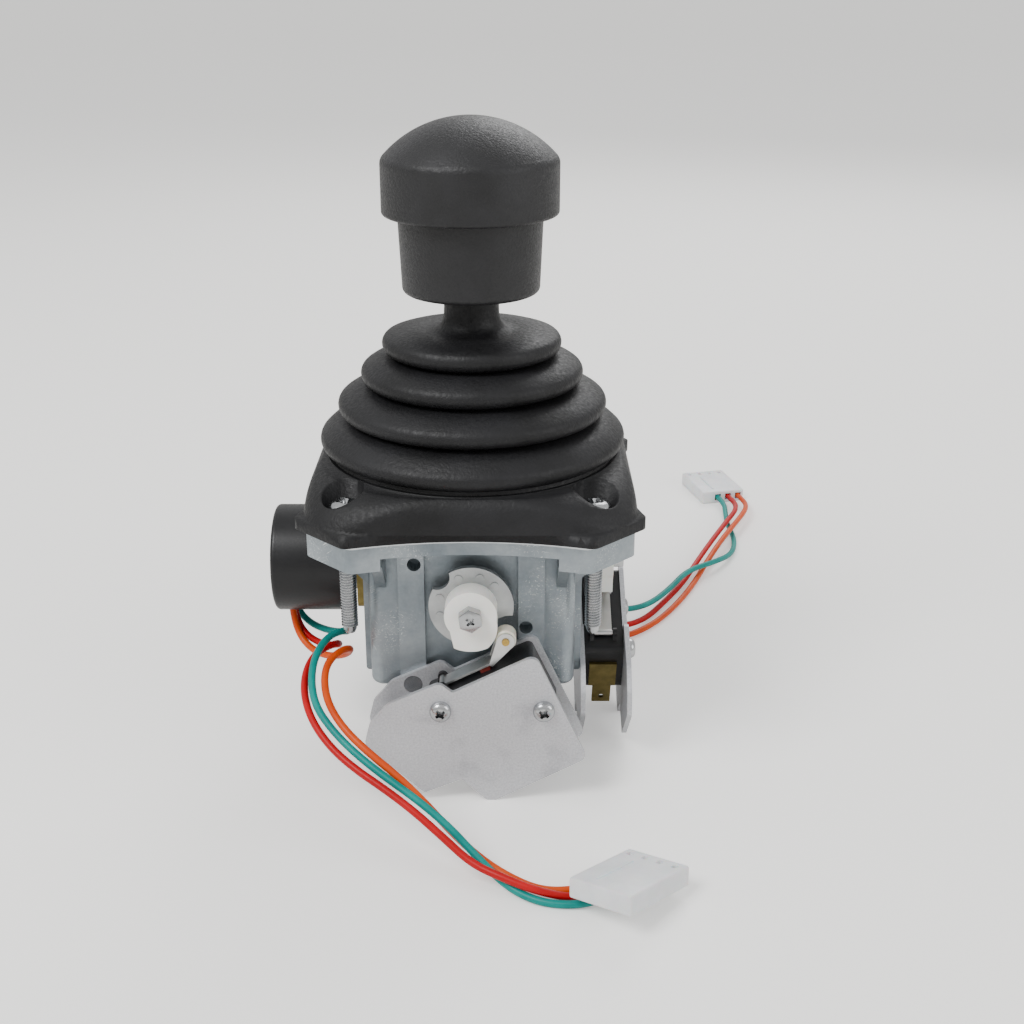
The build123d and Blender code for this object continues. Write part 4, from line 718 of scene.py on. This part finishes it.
class JOYSTICK_OT_plugs(bpy.types.Operator):
    """Flat four-way nylon plugs at the ends of the leads."""
    bl_idname = "joystick.plugs"
    bl_label = "Make the plugs"

    def execute(self, context):
        long, wide, high = PLUG_LONG, PLUG_WIDE, PLUG_HIGH
        for side, (x, y, heading, lean), open_ways in PLUGS:
            c, s = math.cos(math.radians(heading)), math.sin(math.radians(heading))
            lean_c, lean_s = math.cos(math.radians(lean)), math.sin(math.radians(lean))
            entry = TABLE + (long * s + wide / 2 * c) * lean_s
            along, up = Vector((c, s * lean_c, -s * lean_s)), Vector((0, lean_s, lean_c))
            turned_to = Matrix((along, up.cross(along), up)).transposed().to_4x4()
            place = Matrix.Translation(Vector((x, y, entry)) * MM) @ turned_to

            shell = block((long, wide, high), (long / 2, 0, high / 2), 0.5)
            for way in WAYS:
                cut(shell, block((1.7, 1.3, 1.6), (long - 2.6, way, high)))
                cut(shell, block((3.0, 2.2, 2.4), (long, way, high / 2)))
            for way in open_ways:
                cut(shell, block((3.9, 2.3, 2.3), (0, way, high / 2)))
            ridge = block((long - 9.0, 0.7, 0.5), (long / 2 - 1.5, 2.9, high + 0.02), 0.15)
            shell = join([shell, ridge])
            place_piece(shell, place)
            finish_piece(shell, f"{side}_plug_shell", "plug_nylon", 30)
            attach(shell, "housing")
            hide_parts(f"{side}_plug")

            contacts = join([block((4.2, 1.1, 0.9), (long - 3.1, way, high / 2), 0.15)
                             for way in WAYS])
            place_piece(contacts, place)
            finish_piece(contacts, f"{side}_plug_contacts", "terminal_brass", 30)
            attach(contacts, "housing")
        return {"FINISHED"}


class JOYSTICK_OT_boot(bpy.types.Operator):
    """Rubber boot: a squarish foot and a bellows in two halves."""
    bl_idname = "joystick.boot"
    bl_label = "Mould the boot"

    def execute(self, context):
        sizes = context.scene.joystick_sizes
        swell = sizes.fold_swell / MM

        def fold_side(radius, height, end):
            """Points up the outside of one fold, from its lip to the groove or neck above.
            The lip turns from 80 degrees below level to 56 above it."""
            points = []
            for step in range(9):
                angle = math.radians(-80 + step * 17)
                points.append((radius - LIP_R + LIP_R * math.cos(angle),
                               height + LIP_HALF * math.sin(angle)))
            last = points[-1]
            for step in range(1, 6):
                share = step / 6
                bulge = swell * math.sin(math.pi * share)
                points.append((last[0] + (end[0] - last[0]) * share + 0.5 * bulge,
                               last[1] + (end[1] - last[1]) * share + 0.9 * bulge))
            points.append(end)
            return points

        grooves = [(radius - GROOVE_IN, height - GROOVE_DOWN) for radius, height in FOLDS[1:]]
        lower = [(35.6, 8.9), (34.9, 11.4)]
        for fold, groove in zip(FOLDS[:2], grooves[:2]):
            lower += fold_side(*fold, groove)
        upper = [grooves[1]] + fold_side(*FOLDS[2], grooves[2])
        upper += fold_side(*FOLDS[3], (9.6, 40.3))
        upper += [(8.0, 41.0), (7.1, 42.2), (6.7, 43.8), (NECK_R, 46.0), (NECK_R, 49.2)]
        for name, line, joined, (low, high) in [
                ("boot_lower_folds", lower, ("housing", "yoke"), LOWER_BEND),
                ("boot_upper_folds", upper, ("yoke", "handle"), UPPER_BEND)]:
            folds_piece = turned(line, 112)
            shell = folds_piece.modifiers.new("rubber", "SOLIDIFY")
            shell.thickness = sizes.boot_wall
            outermost = max(folds_piece.data.polygons, key=lambda face: face.center.xy.length)
            shell.offset = -1.0 if outermost.normal.xy.dot(outermost.center.xy) > 0 else 1.0
            use(folds_piece, shell)
            finish_piece(folds_piece, name, "boot_rubber", 50)
            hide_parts("boot")
            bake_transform(folds_piece)

        fresh_start()
        foot = frame["nodes"]["boot"].copy()
        foot.data = foot.data.copy()
        foot.parent = None
        foot.hide_viewport = False
        foot.hide_render = False
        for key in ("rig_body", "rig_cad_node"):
            if key in foot:
                del foot[key]
        context.scene.collection.objects.link(foot)
        only(foot)
        bpy.ops.object.mode_set(mode="EDIT")
        bpy.ops.mesh.select_all(action="SELECT")
        bpy.ops.mesh.remove_doubles(threshold=0.002 * MM)
        bpy.ops.mesh.select_all(action="SELECT")
        bpy.ops.mesh.bisect(plane_co=(0, 0, FOOT_TOP * MM), plane_no=(0, 0, 1), use_fill=True,
                            clear_outer=True)
        bpy.ops.object.mode_set(mode="OBJECT")
        for x, y in [(-1, -1), (1, -1), (1, 1), (-1, 1)]:
            recess = turned([(0, RECESS_FLOOR), (RECESS_R[0], RECESS_FLOOR),
                             (RECESS_R[1], RECESS_TOP), (0, RECESS_TOP)], 48)
            place_piece(recess, Matrix.Translation((x * SCREW_AT * MM, y * SCREW_AT * MM, 0)))
            cut(foot, recess)
        finish_piece(foot, "boot_foot", "boot_rubber", 32)
        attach(foot, "housing")
        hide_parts("boot")

        seam = block((0.5, 0.35, 6.0), (0, -6.62, 45.6), 0.12)
        finish_piece(seam, "boot_mould_seam", "boot_rubber")
        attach(seam, "handle")
        return {"FINISHED"}


class JOYSTICK_OT_knob(bpy.types.Operator):
    """Moulding flash between the knob's cap and its grip."""
    bl_idname = "joystick.knob"
    bl_label = "Trim the knob"

    def execute(self, context):
        flash = turned([(16.4, 68.02), (17.75, 68.02), (17.95, 67.82), (17.75, 67.62),
                        (17.1, 67.6), (16.4, 67.6), (16.4, 68.02)], 96)
        finish_piece(flash, "knob_parting_flash", "knob_plastic", 30)
        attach(flash, "handle")
        return {"FINISHED"}


class JOYSTICK_OT_screws(bpy.types.Operator):
    """Screws with cross recesses, and the threads of the long ones."""
    bl_idname = "joystick.screws"
    bl_label = "Turn the screws"

    def execute(self, context):
        sizes = context.scene.joystick_sizes
        pitch = sizes.thread_pitch / MM
        share = sizes.recess_depth

        crest, root = SCREW_CREST, SCREW_CREST - 0.61 * pitch
        line = profile_line([(root, 0), (root, 0.06 * pitch), (crest, 0.44 * pitch),
                             (crest, 0.56 * pitch), (root, 0.94 * pitch), (root, pitch)])
        bpy.ops.object.mode_set(mode="OBJECT")
        thread = line.modifiers.new("thread", "SCREW")
        thread.axis = "Z"
        thread.steps = 24
        thread.render_steps = 24
        thread.screw_offset = sizes.thread_pitch
        thread.iterations = 26
        thread.use_merge_vertices = True
        use(line, thread)
        only(line)
        bpy.ops.object.mode_set(mode="EDIT")
        bpy.ops.mesh.select_all(action="SELECT")
        bpy.ops.mesh.remove_doubles(threshold=0.002 * MM)
        bpy.ops.mesh.select_all(action="SELECT")
        bpy.ops.mesh.fill_holes(sides=0)
        bpy.ops.object.mode_set(mode="OBJECT")
        place_piece(line, Matrix.Translation((0, 0, THREAD_START * MM)))
        core_r = root + CORE_OVER
        core = turned([(0, SCREW_SEAT), (core_r, SCREW_SEAT), (core_r, TIP_START),
                       (root - TIP_TAPER, TIP_END), (0, TIP_END)], 32)
        head = pan_screw(*LONG_HEAD, root, 1.0, LONG_HEAD[0] * share, 20)
        place_piece(head, Matrix.Translation((0, 0, SCREW_SEAT * MM)))
        long_screw = join([head, core, line])
        copies = []
        for x, y, turn in [(-1, -1, 0), (1, -1, 35), (1, 1, 70), (-1, 1, 15)]:
            only(long_screw)
            bpy.ops.object.duplicate()
            copy = bpy.context.object
            place_piece(copy, Matrix.Translation((x * SCREW_AT * MM, y * SCREW_AT * MM, 0))
                        @ Matrix.Rotation(math.radians(turn), 4, "Z"))
            copies.append(copy)
        bpy.data.objects.remove(long_screw)
        screws = join(copies)
        finish_piece(screws, "long_threaded_screws", "screw_steel", 40)
        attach(screws, "housing")
        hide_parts("mounting_screws")

        for side, turn in (("front", 0), ("right", 90)):
            pair = []
            for end, spin in [(-1, 12), (1, 32)]:
                screw = pan_screw(*SWITCH_HEAD, 1.5, 12.6, SWITCH_HEAD[0] * share * 1.2, spin)
                along, up = end * SWITCH_HOLES[0], -end * SWITCH_HOLES[1]
                place_piece(screw, switch_place(turn, SWITCH_FACE, along, up))
                pair.append(screw)
            pair = join(pair)
            finish_piece(pair, f"{side}_switch_cross_screws", "screw_steel", 40)
            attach(pair, "housing")
            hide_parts(f"{side}_switch_screws")

            fresh_start()
            bpy.ops.mesh.primitive_cylinder_add(vertices=6, radius=3.0 * MM, depth=2.8 * MM,
                                                location=(0, 0, 1.4 * MM))
            hexagon = context.object
            bpy.ops.object.transform_apply(location=True, rotation=True, scale=True)
            edges = hexagon.modifiers.new("edges", "BEVEL")
            edges.width = 0.22 * MM
            edges.segments = 2
            use(hexagon, edges)
            cross_recess(hexagon, 2.3, 2.8, 1.0, 45)
            shank = turned([(0, 0.1), (1.45, 0.1), (1.45, -7.6), (0, -7.6)], 24)
            cam_screw = join([hexagon, shank])
            place_piece(cam_screw, wall(CAM_FACE, turn, 0, PIVOT)
                        @ Matrix.Rotation(math.radians(8), 4, "Z"))
            finish_piece(cam_screw, f"{side}_cam_cross_screw", "screw_steel", 30)
            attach(cam_screw, "yoke" if side == "front" else "bail")
            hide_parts(f"{side}_cam_screw")

        for side, turn in (("left", 270), ("rear", 180)):
            pair = []
            for x in (-POT_SCREW_AT, POT_SCREW_AT):
                screw = pan_screw(*POT_HEAD, 1.25, 5.6, POT_HEAD[0] * share, 30)
                place_piece(screw, wall(POT_FACE, turn, x, PIVOT))
                pair.append(screw)
            pair = join(pair)
            finish_piece(pair, f"{side}_pot_cross_screws", "screw_steel", 40)
            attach(pair, "housing")
            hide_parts(f"{side}_pot_screws")
        return {"FINISHED"}


class JOYSTICK_OT_finishes(bpy.types.Operator):
    """Finish of every solid that shows as it is."""
    bl_idname = "joystick.finishes"
    bl_label = "Finish the solids"

    def execute(self, context):
        finished = set()
        for slot, names in FINISHES.items():
            for name in names:
                mesh = frame["nodes"][name].data
                mesh.materials.clear()
                mesh.materials.append(MATERIALS[slot])
                finished.add(name)
        missing = set(frame["nodes"]) - finished - REPLACED
        if missing:
            raise RuntimeError(f"no finish for {sorted(missing)}")
        return {"FINISHED"}


class JOYSTICK_PT_panel(bpy.types.Panel):
    """Operators that dress the joystick."""
    bl_idname = "JOYSTICK_PT_panel"
    bl_label = "Panel joystick"
    bl_space_type = "VIEW_3D"
    bl_region_type = "UI"
    bl_category = "Joystick"

    def draw(self, context):
        for operator in OPERATORS:
            self.layout.operator(operator.bl_idname)
        for name in ("fold_swell", "boot_wall", "thread_pitch", "recess_depth", "lead_thickness"):
            self.layout.prop(context.scene.joystick_sizes, name)
        self.layout.prop(context.scene.joystick_colours, "floor")


OPERATORS = [JOYSTICK_OT_stage, JOYSTICK_OT_plugs, JOYSTICK_OT_leads, JOYSTICK_OT_finishes,
             JOYSTICK_OT_boot, JOYSTICK_OT_knob, JOYSTICK_OT_screws]
CLASSES = [JoystickSizes, JoystickColours, *OPERATORS, JOYSTICK_PT_panel]


def register():
    for cls in CLASSES:
        bpy.utils.register_class(cls)
    bpy.types.Scene.joystick_sizes = bpy.props.PointerProperty(type=JoystickSizes)
    bpy.types.Scene.joystick_colours = bpy.props.PointerProperty(type=JoystickColours)


def unregister():
    del bpy.types.Scene.joystick_colours
    del bpy.types.Scene.joystick_sizes
    for cls in reversed(CLASSES):
        bpy.utils.unregister_class(cls)


def main():
    register()
    bpy.ops.joystick.stage()
    bpy.ops.joystick.plugs()
    bpy.ops.joystick.leads()
    bpy.ops.joystick.finishes()
    bpy.ops.joystick.boot()
    bpy.ops.joystick.knob()
    bpy.ops.joystick.screws()
    fresh_start()


if __name__ == "__main__":
    main()
